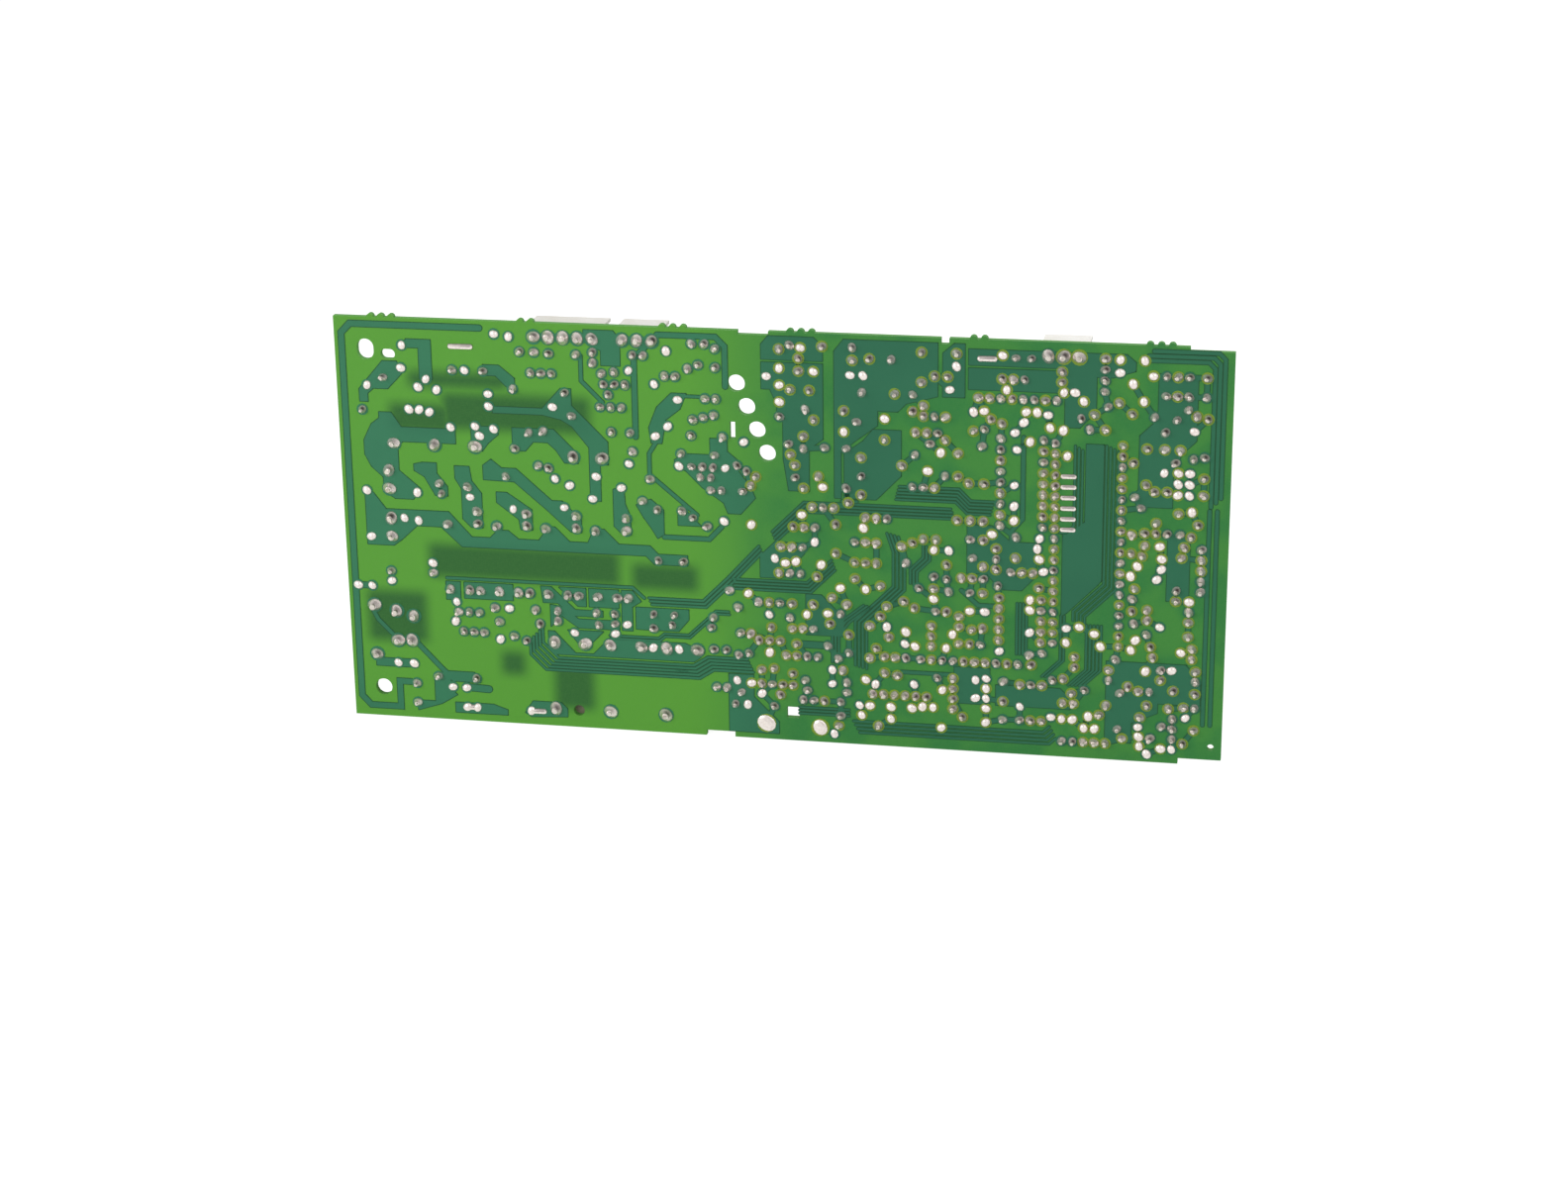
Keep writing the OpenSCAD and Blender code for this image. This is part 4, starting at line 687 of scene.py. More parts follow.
# Poured areas, each an outline in millimetres from the board's lower left corner.
AREAS = (
    ((5.5, 79.5), (5.5, 82.5), (11.5, 89.5), (15, 89.5), (16, 86.5), (12.5, 82.8), (9, 82.8),
     (7.5, 81.5), (7.5, 79.5)),
    ((16.5, 93), (20.5, 93), (20.5, 85.5), (23.5, 85.5), (23.5, 95), (17.5, 95)),
    ((36, 87), (36, 89.5), (39.8, 89.5), (43.5, 86.5), (43.5, 84), (41.5, 84.5), (39, 87)),
    ((10, 77), (13, 77), (15.3, 73.5), (28.5, 73.5), (28.5, 70), (15.5, 70), (14.2, 68.5),
     (14.2, 62.8), (19.3, 58.5), (17.5, 55.8), (13, 55.8), (10.3, 57.5), (10.3, 61), (7.5, 63.5),
     (6, 66.5), (6, 70), (8, 74), (10, 75.5)),
    ((18, 64.5), (20, 65), (23.5, 65), (23.5, 62.5), (26, 59.3), (26, 57), (23, 57), (20.5, 61.5),
     (18, 63)),
    ((28, 61.5), (28, 64.5), (31.5, 64.5), (32, 61), (34.3, 58), (34.3, 49.5), (31.5, 49.5),
     (29.5, 51.5), (29.5, 59)),
    ((32.5, 69), (32.5, 74.5), (39, 74.5), (39, 72.7), (36.5, 70.5), (35, 68.5)),
    ((42.5, 69), (42.5, 74.5), (52.5, 74.5), (58.5, 68.5), (58.2, 66.5), (55, 66.5), (53, 69.5),
     (51, 71.3), (47.5, 71.3), (45.5, 69)),
    ((38, 78), (38, 79.5), (50, 79.5), (54.5, 84.5), (57, 84.5), (57, 80.5), (65.5, 72),
     (65.5, 66.5), (63.5, 66.5), (63.5, 57.5), (61, 57.5), (61, 70.5), (57, 75.5), (54.5, 77),
     (50, 78)),
    ((5.5, 44), (5.5, 57), (7.5, 57), (10.5, 53), (26, 53), (31.5, 47), (36, 47), (38, 49),
     (40.5, 49), (43, 47), (48, 47), (50.5, 50.5), (52, 50.5), (55.5, 47), (60, 47), (61.5, 50.5),
     (64, 50.5), (67.5, 47), (75, 47), (77, 45), (84, 45), (84, 42.5), (76, 42.5), (74, 44.5),
     (29, 44.5), (24, 49.2), (18, 49.2), (14, 45.5), (12, 44)),
    ((38, 58.5), (40.5, 58.5), (46.5, 54.5), (46.5, 49.5), (43.7, 49.5), (43.3, 52), (38, 56)),
    ((35, 61.5), (35, 65), (37, 66.5), (39.5, 64.5), (43, 64.5), (47.5, 60.5), (51.5, 57),
     (54, 57), (58.5, 52.5), (58.5, 49.5), (56, 49.5), (50.5, 54.5), (42.5, 61.3)),
    ((66.5, 51.5), (66.5, 60.5), (69, 61.5), (69.3, 57), (70.5, 54), (70.5, 49.5), (68.5, 49.5)),
    ((60.5, 96), (60.5, 98.8), (67.5, 98.8), (69, 97), (69, 90.5), (64.5, 90.5), (64.5, 94)),
    ((81, 84.5), (84.5, 84.5), (83, 80.8), (79.5, 78), (78.5, 72.3), (76, 72.3), (75.5, 76),
     (77.5, 81)),
    ((72, 57), (75.5, 58.5), (78.5, 56), (78.5, 50), (77, 49), (75.5, 51.5), (73.7, 54)),
    ((82, 52.5), (82, 56), (84, 56), (87.5, 52.5)),
    ((81.5, 68.5), (84, 70), (90, 70), (90, 74), (94, 74), (94, 71), (96.5, 69), (96.5, 66.5),
     (99.5, 62.5), (100.5, 60), (97, 56), (94, 56), (93, 58.5), (88, 62), (84, 66), (81.5, 66.5)),
    ((6, 13), (6, 16.5), (8, 15), (16, 15), (16, 13)),
    ((16, 2), (16, 4.5), (20.5, 4.5), (20.5, 10.5), (23, 12.5), (24.5, 10.5), (24.5, 8), (26, 6.5),
     (22, 4)),
    ((24, 12.5), (30.5, 12.5), (32, 10), (26, 10)),
    ((25.5, 2), (25.5, 4.5), (35, 4.5), (38.5, 3.3), (38.5, 2)),
    ((43, 3), (45, 6), (52, 6), (53.5, 4.5), (53.5, 2.5), (44.5, 2)),
    ((93.5, 1.5), (93.5, 16), (99.5, 16), (99.5, 10.5), (105.5, 4.5), (105.5, 1.5)),
    ((24.5, 31), (24.5, 35.5), (28, 35.5), (28, 31)),
    ((29, 31.5), (29, 35.5), (41, 35.5), (41, 31.5)),
    ((48.5, 31.5), (48, 35.5), (50.5, 35.5), (56.3, 30), (63, 30), (63, 28.5), (55.8, 28.5),
     (52, 31.5)),
    ((52.5, 35.5), (59, 35.5), (59, 31), (57, 31)),
    ((59.8, 31), (59.8, 35.5), (67, 35.5), (67, 31)),
    ((67.8, 25.5), (67.8, 35.5), (70.5, 35.5), (72.5, 33), (70.3, 31.5), (70.3, 25.5)),
    ((50.2, 25.5), (50.2, 31), (53.5, 30.5), (57, 27.7), (67, 27.7), (67, 25.5), (57, 25.5),
     (53, 28.3)),
    ((49.5, 20), (49.5, 24.3), (51, 24.3), (56, 19), (60.5, 19), (64.3, 23), (83, 23),
     (86.7, 21.5), (86.7, 19.7), (85, 18.5), (51, 18.5)),
    ((54.3, 24.8), (63, 24.8), (59.6, 21.3), (57, 21.3)),
    ((71.2, 26), (71.2, 31.5), (84, 31.5), (84, 29), (81.5, 26)),
    ((101.5, 40.7), (101.5, 46), (105, 49.5), (112, 49.5), (112, 47), (106.5, 40.7)),
    ((102.3, 93.5), (102.3, 97), (104, 99), (114.5, 99), (116.6, 97), (116.6, 93.5)),
    ((102.3, 86.5), (102.3, 92.8), (116.6, 92.8), (116.6, 75), (113.3, 72.5), (113.3, 62.3),
     (108.5, 62.3), (107.3, 70), (107.3, 80), (104.3, 86.5)),
    ((119.3, 61), (119.3, 96), (121.5, 98.8), (143.2, 98.8), (143.2, 86.3), (136, 84.3),
     (134, 82.3), (129.3, 82.3), (129.3, 78.8), (125.3, 75.8), (120.8, 72.3), (120.8, 61)),
    ((121.6, 61), (121.6, 71.7), (126, 75), (128.3, 77.8), (134.8, 77.8), (134.8, 67), (129, 61)),
    ((144.4, 86.3), (144.4, 96.5), (147, 98.8), (149.4, 98.8), (149.4, 86.3)),
    ((150.3, 94), (150.3, 97.7), (186, 97.7), (188, 96), (188, 94), (183, 92.3), (179.3, 92.3),
     (179.3, 84.3), (175.7, 80.3), (172.3, 80.3), (172.3, 94)),
    ((150.3, 88.3), (150.3, 93.3), (171.5, 93.3), (171.5, 88.3)),
    ((189.3, 62.3), (189.3, 79), (193.3, 83), (193.3, 93), (202, 93), (202, 78.3), (197, 73.3),
     (197, 62.3)),
    ((172.3, 35), (172.3, 54.3), (175.5, 56.5), (177.3, 58), (177.3, 76.5), (181.3, 76.5),
     (181.3, 44), (180.5, 43), (173.5, 35.8)),
    ((196.3, 40), (196.3, 56), (201.3, 56), (201.3, 40)),
    ((150.3, 44.3), (150.3, 56), (156, 56), (160.3, 52.3), (166.3, 52.3), (166.3, 44.3),
     (163, 40.7), (158, 40.7), (155, 44.3)),
    ((112.3, 27), (112.3, 37), (116, 37), (121.3, 31.5), (121.3, 27)),
    ((147.5, 12), (147.5, 21), (155.8, 21), (155.8, 12)),
    ((183, 4.5), (183, 24.5), (201.3, 24.5), (204.7, 20.5), (204.7, 14.7), (195, 14.7),
     (195, 12.3), (189, 9.5), (189, 4.5)),
    ((157.3, 12), (157.3, 17), (172.3, 17), (174.7, 14.7), (174.7, 12)),
)


@dataclass(frozen=True)
class Run:
    """Tracks that lie side by side, in millimetres from the board's lower left corner."""

    line: Pairs                             # the middle line of the first
    width: float
    count: int = 1
    step: tuple[float, float] = (0, 0)      # from each track to the next


RUNS = (
    Run(((14.5, 9.2), (11.6, 9.2), (11.6, 2.6), (4, 2.6), (1.8, 5), (1.8, 96), (4, 98.3),
         (35.5, 98.3)), 1.4),
    Run(((72.3, 73.6), (72.3, 92.4), (78, 98.3), (91.6, 98.3), (93.8, 96.1), (93.8, 86.6)), 1.2),
    Run(((59.6, 92.6), (59.6, 86.6), (64.6, 81.6)), 0.8),
    Run(((77.2, 72.6), (75.4, 69.7), (75.4, 64.6), (86.6, 55.2)), 0.8),
    Run(((78.6, 49.4), (89.4, 49.4), (92.4, 52.6)), 1),
    Run(((88.6, 83.9), (83.1, 83.9)), 0.6),
    Run(((24.8, 36.4), (70.5, 36.4), (73.3, 33.9)), 0.6),
    Run(((207.2, 10), (207.2, 62)), 0.8, 2, (-1.7, 0)),
    Run(((189.8, 96.6), (204.3, 96.6), (205.7, 95.2), (205.7, 62.9)), 0.8, 3, (1.1, 1.1)),
    Run(((121, 60.3), (124.5, 60.3)), 0.6),
    Run(((25.4, 10.4), (22.4, 13.2), (15.9, 20.1)), 1.1),
    Run(((10.4, 21.4), (7, 24.9), (5.9, 27.1)), 0.9),
    Run(((29.2, 8.6), (34, 8.4)), 1.7),
    Run(((48.1, 25), (48.1, 21.3), (51.8, 17.6), (85, 17.6)), 0.45, 5, (-0.8, -0.8)),
    Run(((80.2, 17.6), (85, 17.6), (88.5, 19.9), (98, 19.9)), 0.5, 5, (0.35, -0.8)),
    Run(((74.4, 34), (87.6, 34), (93.6, 40), (101.2, 48.3)), 0.45, 3, (0.35, -0.8)),
    Run(((94.6, 39.9), (112.6, 39.9), (118.4, 45.7)), 0.4, 4, (0.3, -0.8)),
    Run(((64.6, 24), (76.6, 24), (78, 25.2), (84, 25.2), (90.6, 31.6),
         (93.7, 31.6)), 0.4, 2, (0.2, -0.7)),
    Run(((124, 20), (124, 31), (133, 40), (133, 48.5), (131.5, 53)), 0.42, 4, (0.9, -0.25)),
    Run(((118.5, 20.5), (118.5, 27.5), (121, 31), (126, 35)), 0.42, 3, (0.8, -0.2)),
    Run(((104.4, 52), (112, 59.6), (146.4, 59.6)), 0.4, 4, (0.3, -0.8)),
    Run(((134.4, 64.5), (148.3, 64.5), (151, 61.8), (156.3, 61.8)), 0.4, 5, (-0.2, -0.8)),
    Run(((137, 41.05), (137, 44.5), (140, 47.5), (140, 50.5)), 0.42, 3, (0.8, -0.3)),
    Run(((162, 25), (162, 37.5)), 0.42, 4, (0.75, 0)),
    Run(((172.2, 35), (172.2, 24), (168, 19.8)), 0.4, 2, (0.8, 0)),
    Run(((181.9, 76.3), (181.9, 43.2), (175, 36.3), (175, 34)), 0.4, 4, (0.9, -0.4)),
    Run(((174.8, 76), (174.8, 57), (173, 55.2), (171.6, 55.2)), 0.4, 3, (0.85, -0.5)),
    Run(((181.6, 33), (181.6, 22), (177.6, 18)), 0.4, 5, (-0.85, 0)),
    Run(((125, 3), (170, 3), (171.5, 4.5)), 0.45, 4, (-0.5, 0.95)),
    Run(((110.5, 8.6), (122.5, 8.6)), 0.4, 3, (0, -0.8)),
    Run(((111, 24.5), (117.5, 24.5)), 1.6),
    Run(((135, 18.95), (153, 18.95)), 0.8),
    Run(((6.3, 33.5), (2.7, 33.5)), 1.4),
    Run(((160.5, 51), (160.5, 55), (163, 58), (163, 77.5)), 0.9),
    Run(((149, 40), (153, 36.5), (157, 36.5)), 0.9),
)


def stroked(line: np.ndarray, width: float, turns: int = 5) -> np.ndarray:
    """Draws the outline of a track with mitred bends and round ends.

    Args:
        line: the points of its middle line.
        width: its width.
        turns: points on each round end.

    Returns:
        The outline. At a bend the edge lies off the middle line by half the width times the sum
        of both sides' normals, over one plus their dot product. An end is half a circle.
    """
    way = np.diff(line, axis=0)
    way /= np.linalg.norm(way, axis=1)[:, None]
    across = np.column_stack([-way[:, 1], way[:, 0]])
    before = np.vstack([across[:1], across])
    after = np.vstack([across, across[-1:]])
    edge = (before + after) / (1 + (before * after).sum(axis=1))[:, None] * width / 2
    swing = np.linspace(0, math.pi, turns + 2)[1:-1, None]
    last = line[-1] + (across[-1] * np.cos(swing) + way[-1] * np.sin(swing)) * width / 2
    first = line[0] - (across[0] * np.cos(swing) + way[0] * np.sin(swing)) * width / 2
    return np.vstack([line + edge, last, (line - edge)[::-1], first])


def plates(name: str, outlines: Sequence[np.ndarray], tops: np.ndarray,
           values: dict[str, np.ndarray]) -> bpy.types.Object:
    """Makes one object of closed flat plates that stand on the face of the board.

    Args:
        name: the piece's name.
        outlines: the plates' outlines, x and z in metres.
        tops: how far each stands out of the board, in metres.
        values: numbers for the plates, one each, put on all their points.

    Returns:
        The object. Each outline is laid twice, at y = 0 and at y = -top, and point i of one
        joins point i of the other.
    """
    points, faces, start = [], [], 0
    for outline, top in zip(outlines, tops):
        count = len(outline)
        points += [np.insert(outline, 1, level, axis=1) for level in (-top, 0.0)]
        index = np.arange(start, start + count)
        onward = np.roll(index, -1)
        faces += [index.tolist(), (index[::-1] + count).tolist()]
        faces += np.stack([index, index + count, onward + count, onward], axis=-1).tolist()
        start += 2 * count
    repeats = [2 * len(outline) for outline in outlines]
    return make_object(name, np.vstack(points), faces,
                       {key: np.repeat(value, repeats) for key, value in values.items()})


@dataclass
class Foil:
    """Etched copper under green lacquer: poured areas, tracks, and lands round the joints."""

    frame: dict[str, Any]
    finish: bpy.types.Material
    land: float = 0.28 * MM                 # how far a land reaches past its joint
    rim: float = 0.18 * MM                  # width of the painted shade along the step round an area or a track
    link_reach: float = 5.2 * MM            # joints nearer than this are often joined
    link_width: float = 1.1 * MM
    sides: int = 12
    bare_from: float = 0.09                 # from here on, along x, joints stand in bare rings
    bare_share: float = 0.6
    # Where the tops of steps, areas, tracks and lands begin and end, as shares of the foil.
    levels: Pairs = ((0.62, 0.76), (0.80, 0.84), (0.86, 0.92), (0.94, 1.0))
    rng: np.random.Generator = field(default_factory=lambda: np.random.default_rng(SEED + 2))

    def lands(self) -> tuple[list[np.ndarray], np.ndarray]:
        """Draws a round land under every joint.

        Returns:
            The outlines, each a circle round the joint's middle, and 1 for each land that a
            bare ring parts from the copper round it, else 0.
        """
        solids = [solid for node in ("lead_solder", "pin_solder", "power_solder", "pad_solder")
                  for solid in solids_of(self.frame["nodes"][node])]
        circle = np.column_stack([np.cos(around(self.sides)), np.sin(around(self.sides))])
        outlines = [solid.middle[[0, 2]] + circle * ((solid.high - solid.low)[0] / 2 + self.land)
                    for solid in solids]
        right = np.array([solid.middle[0] > self.bare_from for solid in solids])
        return outlines, (right & (self.rng.random(len(solids)) < self.bare_share)).astype(float)

    def links(self, lands: list[np.ndarray]) -> list[np.ndarray]:
        """Joins joints at the busy end to their nearest neighbours with short tracks.

        Args:
            lands: the lands' outlines.

        Returns:
            The middle lines. Each joint goes to its nearest or second nearest neighbour.
        """
        middle = np.array([outline.mean(axis=0) for outline in lands])
        middle = middle[middle[:, 0] > self.bare_from]
        gap = np.linalg.norm(middle[:, None] - middle[None], axis=2)
        order = np.argsort(gap, axis=1)
        pick = order[np.arange(len(middle)), self.rng.integers(1, 3, len(middle))]
        near = gap[np.arange(len(middle)), pick] < self.link_reach
        return [np.stack([middle[one], middle[pick[one]]]) for one in np.flatnonzero(near)]

    def build(self) -> None:
        """Makes the foil as one piece.

        Its steps, areas, tracks and lands lie a hair above each other, in that order, and within
        a kind each lies above the one before it, so that no two tops share a plane.
        """
        low, high = (np.array(corner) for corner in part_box("copper_foil"))
        corner = np.array(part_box("laminate")[0])[[0, 2]]
        areas = [np.array(area) * MM + corner for area in AREAS]
        runs = [((np.array(run.line) + np.array(run.step) * number) * MM + corner, run.width * MM)
                for run in RUNS for number in range(run.count)]
        lands, bare = self.lands()
        runs += [(line, self.link_width) for line in self.links(lands)]
        edges = [stroked(np.stack([start, end]), self.rim * 2)
                 for area in areas for start, end in zip(area, np.roll(area, -1, axis=0))]
        edges += [stroked(line, width + self.rim * 2) for line, width in runs]
        lines = [stroked(line, width) for line, width in runs]
        kinds = (edges, areas, lines, lands)
        tops = [np.linspace(*level, len(kind)) for level, kind in zip(self.levels, kinds)]
        rim = [np.full(len(kind), float(kind is edges)) for kind in kinds]
        bare = np.concatenate([np.zeros(sum(len(kind) for kind in kinds[:3])), bare])
        piece = plates("etched_foil", [outline for kind in kinds for outline in kind],
                       np.concatenate(tops) * (high[1] - low[1]),
                       {"bare": bare, "rim": np.concatenate(rim)})
        settle(piece, self.finish, "lacquered_foil", "copper_foil")


# ---- the soldered face ----

@dataclass
class SolderJoints:
    """Fillets drawn up round the cropped leads, and flat mounds on the empty pads."""

    frame: dict[str, Any]
    finish: bpy.types.Material
    sides: int = 14
    reach: float = 1.78 * MM                # the leads are cropped this far above the copper
    lean: float = 0.22 * MM                 # how far a tip wanders off its pad's middle
    shade_side: float = math.radians(56)           # the side of each lead that gets painted shade
    ripple: float = 0.1
    # Rows of a joint, as shares of its height and of its pad's radius.
    rows: Pairs = ((0.0, 1.0), (0.16, 0.93), (0.42, 0.7), (0.7, 0.5), (0.9, 0.4), (1.0, 0.22))
    rng: np.random.Generator = field(default_factory=lambda: np.random.default_rng(SEED))

    def fillet(self, solids: Sequence[Solid],
               tall: float) -> tuple[np.ndarray, dict[str, np.ndarray]]:
        """Works out every joint of a node.

        Args:
            solids: the plain joints that the new ones stand on.
            tall: height of the tips, in metres; the flat mounds keep their own.

        Returns:
            The grids and their painted shade and tip values. Each row has a share of the height and
            of the pad's radius. It is swollen by a slow ripple round the lead, and its centre moves
            off with the square of its height, so that each tip leans a little its own way. A
            flat mound's rows follow the square root of 1 less the height squared.
        """
        middle = np.array([s.middle for s in solids])
        radius = np.array([(s.high - s.low)[[0, 2]].max() / 2 for s in solids])
        count = len(solids)
        angle = around(self.sides)[None, None, :]
        height, width = np.array(self.rows).T[:, None, :, None]
        if tall == 0:
            rise = np.array([(s.high - s.low)[1] for s in solids])[:, None, None]
            width = np.sqrt(np.clip(1.001 - height ** 2, 0, 1))
        else:
            rise = tall * self.rng.uniform(0.82, 1.0, count)[:, None, None]
        turn = self.rng.uniform(0, math.tau, (count, 1, 1))
        swell = 1 + self.ripple * np.sin(2 * angle + turn) * (1 - height * 0.6)
        spread = radius[:, None, None] * width * swell * self.rng.uniform(0.9, 1.02, (count, 1, 1))
        away = self.rng.normal(0, self.lean, (2, count, 1, 1)) * height ** 2 * (tall > 0)
        base = np.array([s.high[1] for s in solids])[:, None, None]
        x = middle[:, 0, None, None] + away[0] + spread * np.cos(angle)
        z = middle[:, 2, None, None] + away[1] + spread * np.sin(angle)
        y = np.broadcast_to(base - rise * height, x.shape)
        # Painted shade on one side of each lead, in a band part way up the fillet; faint on the
        # flat mounds.
        shade_side = np.cos(angle - self.shade_side) * 0.5 + 0.5
        amount = self.rng.uniform(0.3, 1.0, (count, 1, 1)) * (0.2 if tall == 0 else 1.0)
        band = np.exp(-((height - 0.6) / 0.35) ** 2)
        flux = np.clip(shade_side ** 2.5 * band * amount * 1.3, 0, 1)
        tip = np.broadcast_to((height > 0.95) * 0.75 * (tall > 0), x.shape)
        return np.stack([x, y, z], axis=-1), {"flux": flux, "tip": tip}

    def build(self) -> None:
        """Makes the joints of each node as one piece."""
        for node, tall in (("lead_solder", self.reach), ("pin_solder", self.reach * 0.9),
                           ("power_solder", self.reach), ("pad_solder", 0.0)):
            points, values = self.fillet(solids_of(self.frame["nodes"][node]), tall)
            settle(grid_mesh(node + "_fillets", points, values), self.finish, "solder", node)


@dataclass
class TinnedBars:
    """Tracks left bare of lacquer, on which the solder stands in a long mound."""

    frame: dict[str, Any]
    finish: bpy.types.Material
    steps: int = 9
    sides: int = 12

    def build(self) -> None:
        """Makes every mound: a rounded crown over the bar's own outline.

        A row is a stadium, whose round ends and half-width shrink with its height by the square
        root of 1 less the height squared, while its straight middle keeps its length.
        """
        solids = solids_of(self.frame["nodes"]["tinned_bars"])
        low = np.array([s.low for s in solids])
        high = np.array([s.high for s in solids])
        middle = (low + high) / 2
        size = (high - low) / 2
        angle = around(self.sides)[None, None, :]
        height = np.linspace(0, 1, self.steps)[None, :, None] ** 0.8
        shrink = np.sqrt(np.clip(1.001 - height ** 2, 0, 1))
        half_width = size[:, 2][:, None, None] * 0.85
        straight = size[:, 0][:, None, None] - half_width
        x = (middle[:, 0, None, None] + np.sign(np.cos(angle)) * straight
             + np.cos(angle) * half_width * shrink)
        z = middle[:, 2, None, None] + np.sin(angle) * half_width * shrink
        y = high[:, 1, None, None] - 2 * size[:, 1][:, None, None] * height
        points = np.stack(np.broadcast_arrays(x, y, z), axis=-1)
        # Painted shade: darker along the upper half of each mound.
        flux = np.broadcast_to(np.clip(np.sin(angle), 0, 1) * 0.6, x.shape)
        piece = grid_mesh("solder_mounds", points, {"flux": flux, "tip": np.zeros_like(x)})
        settle(piece, self.finish, "solder", "tinned_bars")


# ---- parts behind the board ----

BLACK_GLAZE = srgb(26, 26, 28)

# Paints of a resistor's rings, in the order of the digits 0 to 8, and then gold.
PAINTS = (srgb(20, 18, 18), srgb(96, 52, 28), srgb(176, 36, 28), srgb(208, 100, 28),
          srgb(206, 180, 40), srgb(40, 110, 54), srgb(36, 62, 140), srgb(96, 56, 120),
          srgb(120, 116, 112), srgb(190, 150, 60))


@dataclass
class AxialParts:
    """Resistors and diodes: bodies turned about their own leads, with painted rings."""

    frame: dict[str, Any]
    rng: np.random.Generator = field(default_factory=lambda: np.random.default_rng(SEED + 1))
    sides: int = 14
    resistor_size: tuple[float, float] = (6.4 * MM, 1.2 * MM)       # length and radius
    upright_size: tuple[float, float] = (6.4 * MM, 1.0 * MM)
    diode_size: tuple[float, float] = (5.2 * MM, 1.3 * MM)
    resistor_rings: Pairs = ((0.12, 0.2), (0.34, 0.35), (0.42, 0.43), (0.58, 0.59), (0.8, 0.88))
    diode_rings: Pairs = ((0.71, 0.85),)
    resistor_form: Pairs = (
        (0.0, 0.5), (0.02, 0.82), (0.06, 0.97), (0.12, 1.0), (0.2, 0.97), (0.26, 0.86),
        (0.34, 0.83), (0.35, 0.83), (0.42, 0.83), (0.43, 0.83), (0.5, 0.83), (0.51, 0.83),
        (0.58, 0.83), (0.59, 0.83), (0.66, 0.83), (0.74, 0.86), (0.8, 0.97), (0.88, 1.0),
        (0.94, 0.97), (0.98, 0.82), (1.0, 0.5))
    diode_form: Pairs = (
        (0.0, 0.55), (0.01, 0.9), (0.04, 1.0), (0.7, 1.0), (0.71, 1.0), (0.85, 1.0), (0.86, 1.0),
        (0.96, 1.0), (0.99, 0.9), (1.0, 0.55))

    def bodies(self, node: str, form: Pairs, size: tuple[float, float],
               rings: Pairs) -> bpy.types.Object:
        """Turns one body for every solid of a node.

        Args:
            node: the CAD node.
            form: the profile, as shares of the length and of the radius.
            size: the body's length and radius, in metres.
            rings: where each painted ring starts and ends, as shares of the length.

        Returns:
            The piece. A point lies off the body's middle by its share of the length, less a
            half, along the axis, and out from there by the profile's radius, along two
            directions square to the axis.
        """
        solids = solids_of(self.frame["nodes"][node])
        middle = np.array([s.middle for s in solids])
        axis = np.array([s.axis for s in solids])
        side = np.cross(axis, np.array([0, 1, 0]))
        upright = np.linalg.norm(side, axis=1) < 0.5
        side[upright] = (1, 0, 0)
        side /= np.linalg.norm(side, axis=1)[:, None]
        other = np.cross(axis, side)
        share, width = np.array(form).T
        angle = around(self.sides)[None, None, :, None]
        out = side[:, None, None] * np.cos(angle) + other[:, None, None] * np.sin(angle)
        along = axis[:, None, None] * ((share - 0.5) * size[0])[None, :, None, None]
        points = middle[:, None, None] + along + out * (width * size[1])[None, :, None, None]
        ring = np.zeros(points.shape[:3])
        for start, end in rings:
            inside = (share >= start) & (share <= end)
            paint = self.rng.integers(1, 10, len(solids)) / 10 + 0.02
            ring[:, inside] = paint[:, None, None]
        return grid_mesh(node + "_bodies", points, {"ring": ring})

    def build(self) -> None:
        """Makes the resistors, the upright resistors and the diodes."""
        stops = tuple((index / 10 + 0.01 * (index > 0), colour)
                      for index, colour in enumerate(PAINTS))
        coat = Banded("resistor_coat", srgb(206, 176, 128), stops).build()
        for node, size in (("resistors", self.resistor_size),
                           ("upright_resistors", self.upright_size)):
            piece = self.bodies(node, self.resistor_form, size, self.resistor_rings)
            settle(piece, coat, "resistor_coat", node)
        black = Banded("diode_coat", BLACK_GLAZE, ((0.0, BLACK_GLAZE), (0.05, srgb(196, 194, 188))),
                       0.4).build()
        diodes = self.bodies("diodes", self.diode_form, self.diode_size, self.diode_rings)
        settle(diodes, black, "black_moulding", "diodes")


@dataclass
class FuseWire:
    """The thin wire inside the glass fuse, end to end."""

    frame: dict[str, Any]
    radius: float = 0.12 * MM
    inset: float = 0.5 * MM                 # from each end of the glass
    sag: float = 0.3 * MM
    sides: int = 8
    steps: int = 24

    def build(self, metal: bpy.types.Material) -> None:
        """Makes the wire: a tube whose middle line sags by a sine of its length.

        Args:
            metal: its material.
        """
        low, high = (np.array(corner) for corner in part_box("fuse_tube"))
        share = np.linspace(0, 1, self.steps)[None, :, None]
        angle = around(self.sides)[None, None, :]
        middle = (low + high) / 2
        z = low[2] + self.inset + (high[2] - low[2] - 2 * self.inset) * share
        x = middle[0] + self.sag * np.sin(math.pi * share) + self.radius * np.cos(angle)
        y = middle[1] + self.radius * np.sin(angle)
        points = np.stack(np.broadcast_arrays(x, y, z), axis=-1)
        settle(grid_mesh("fuse_wire", points, {}), metal, "nickel")


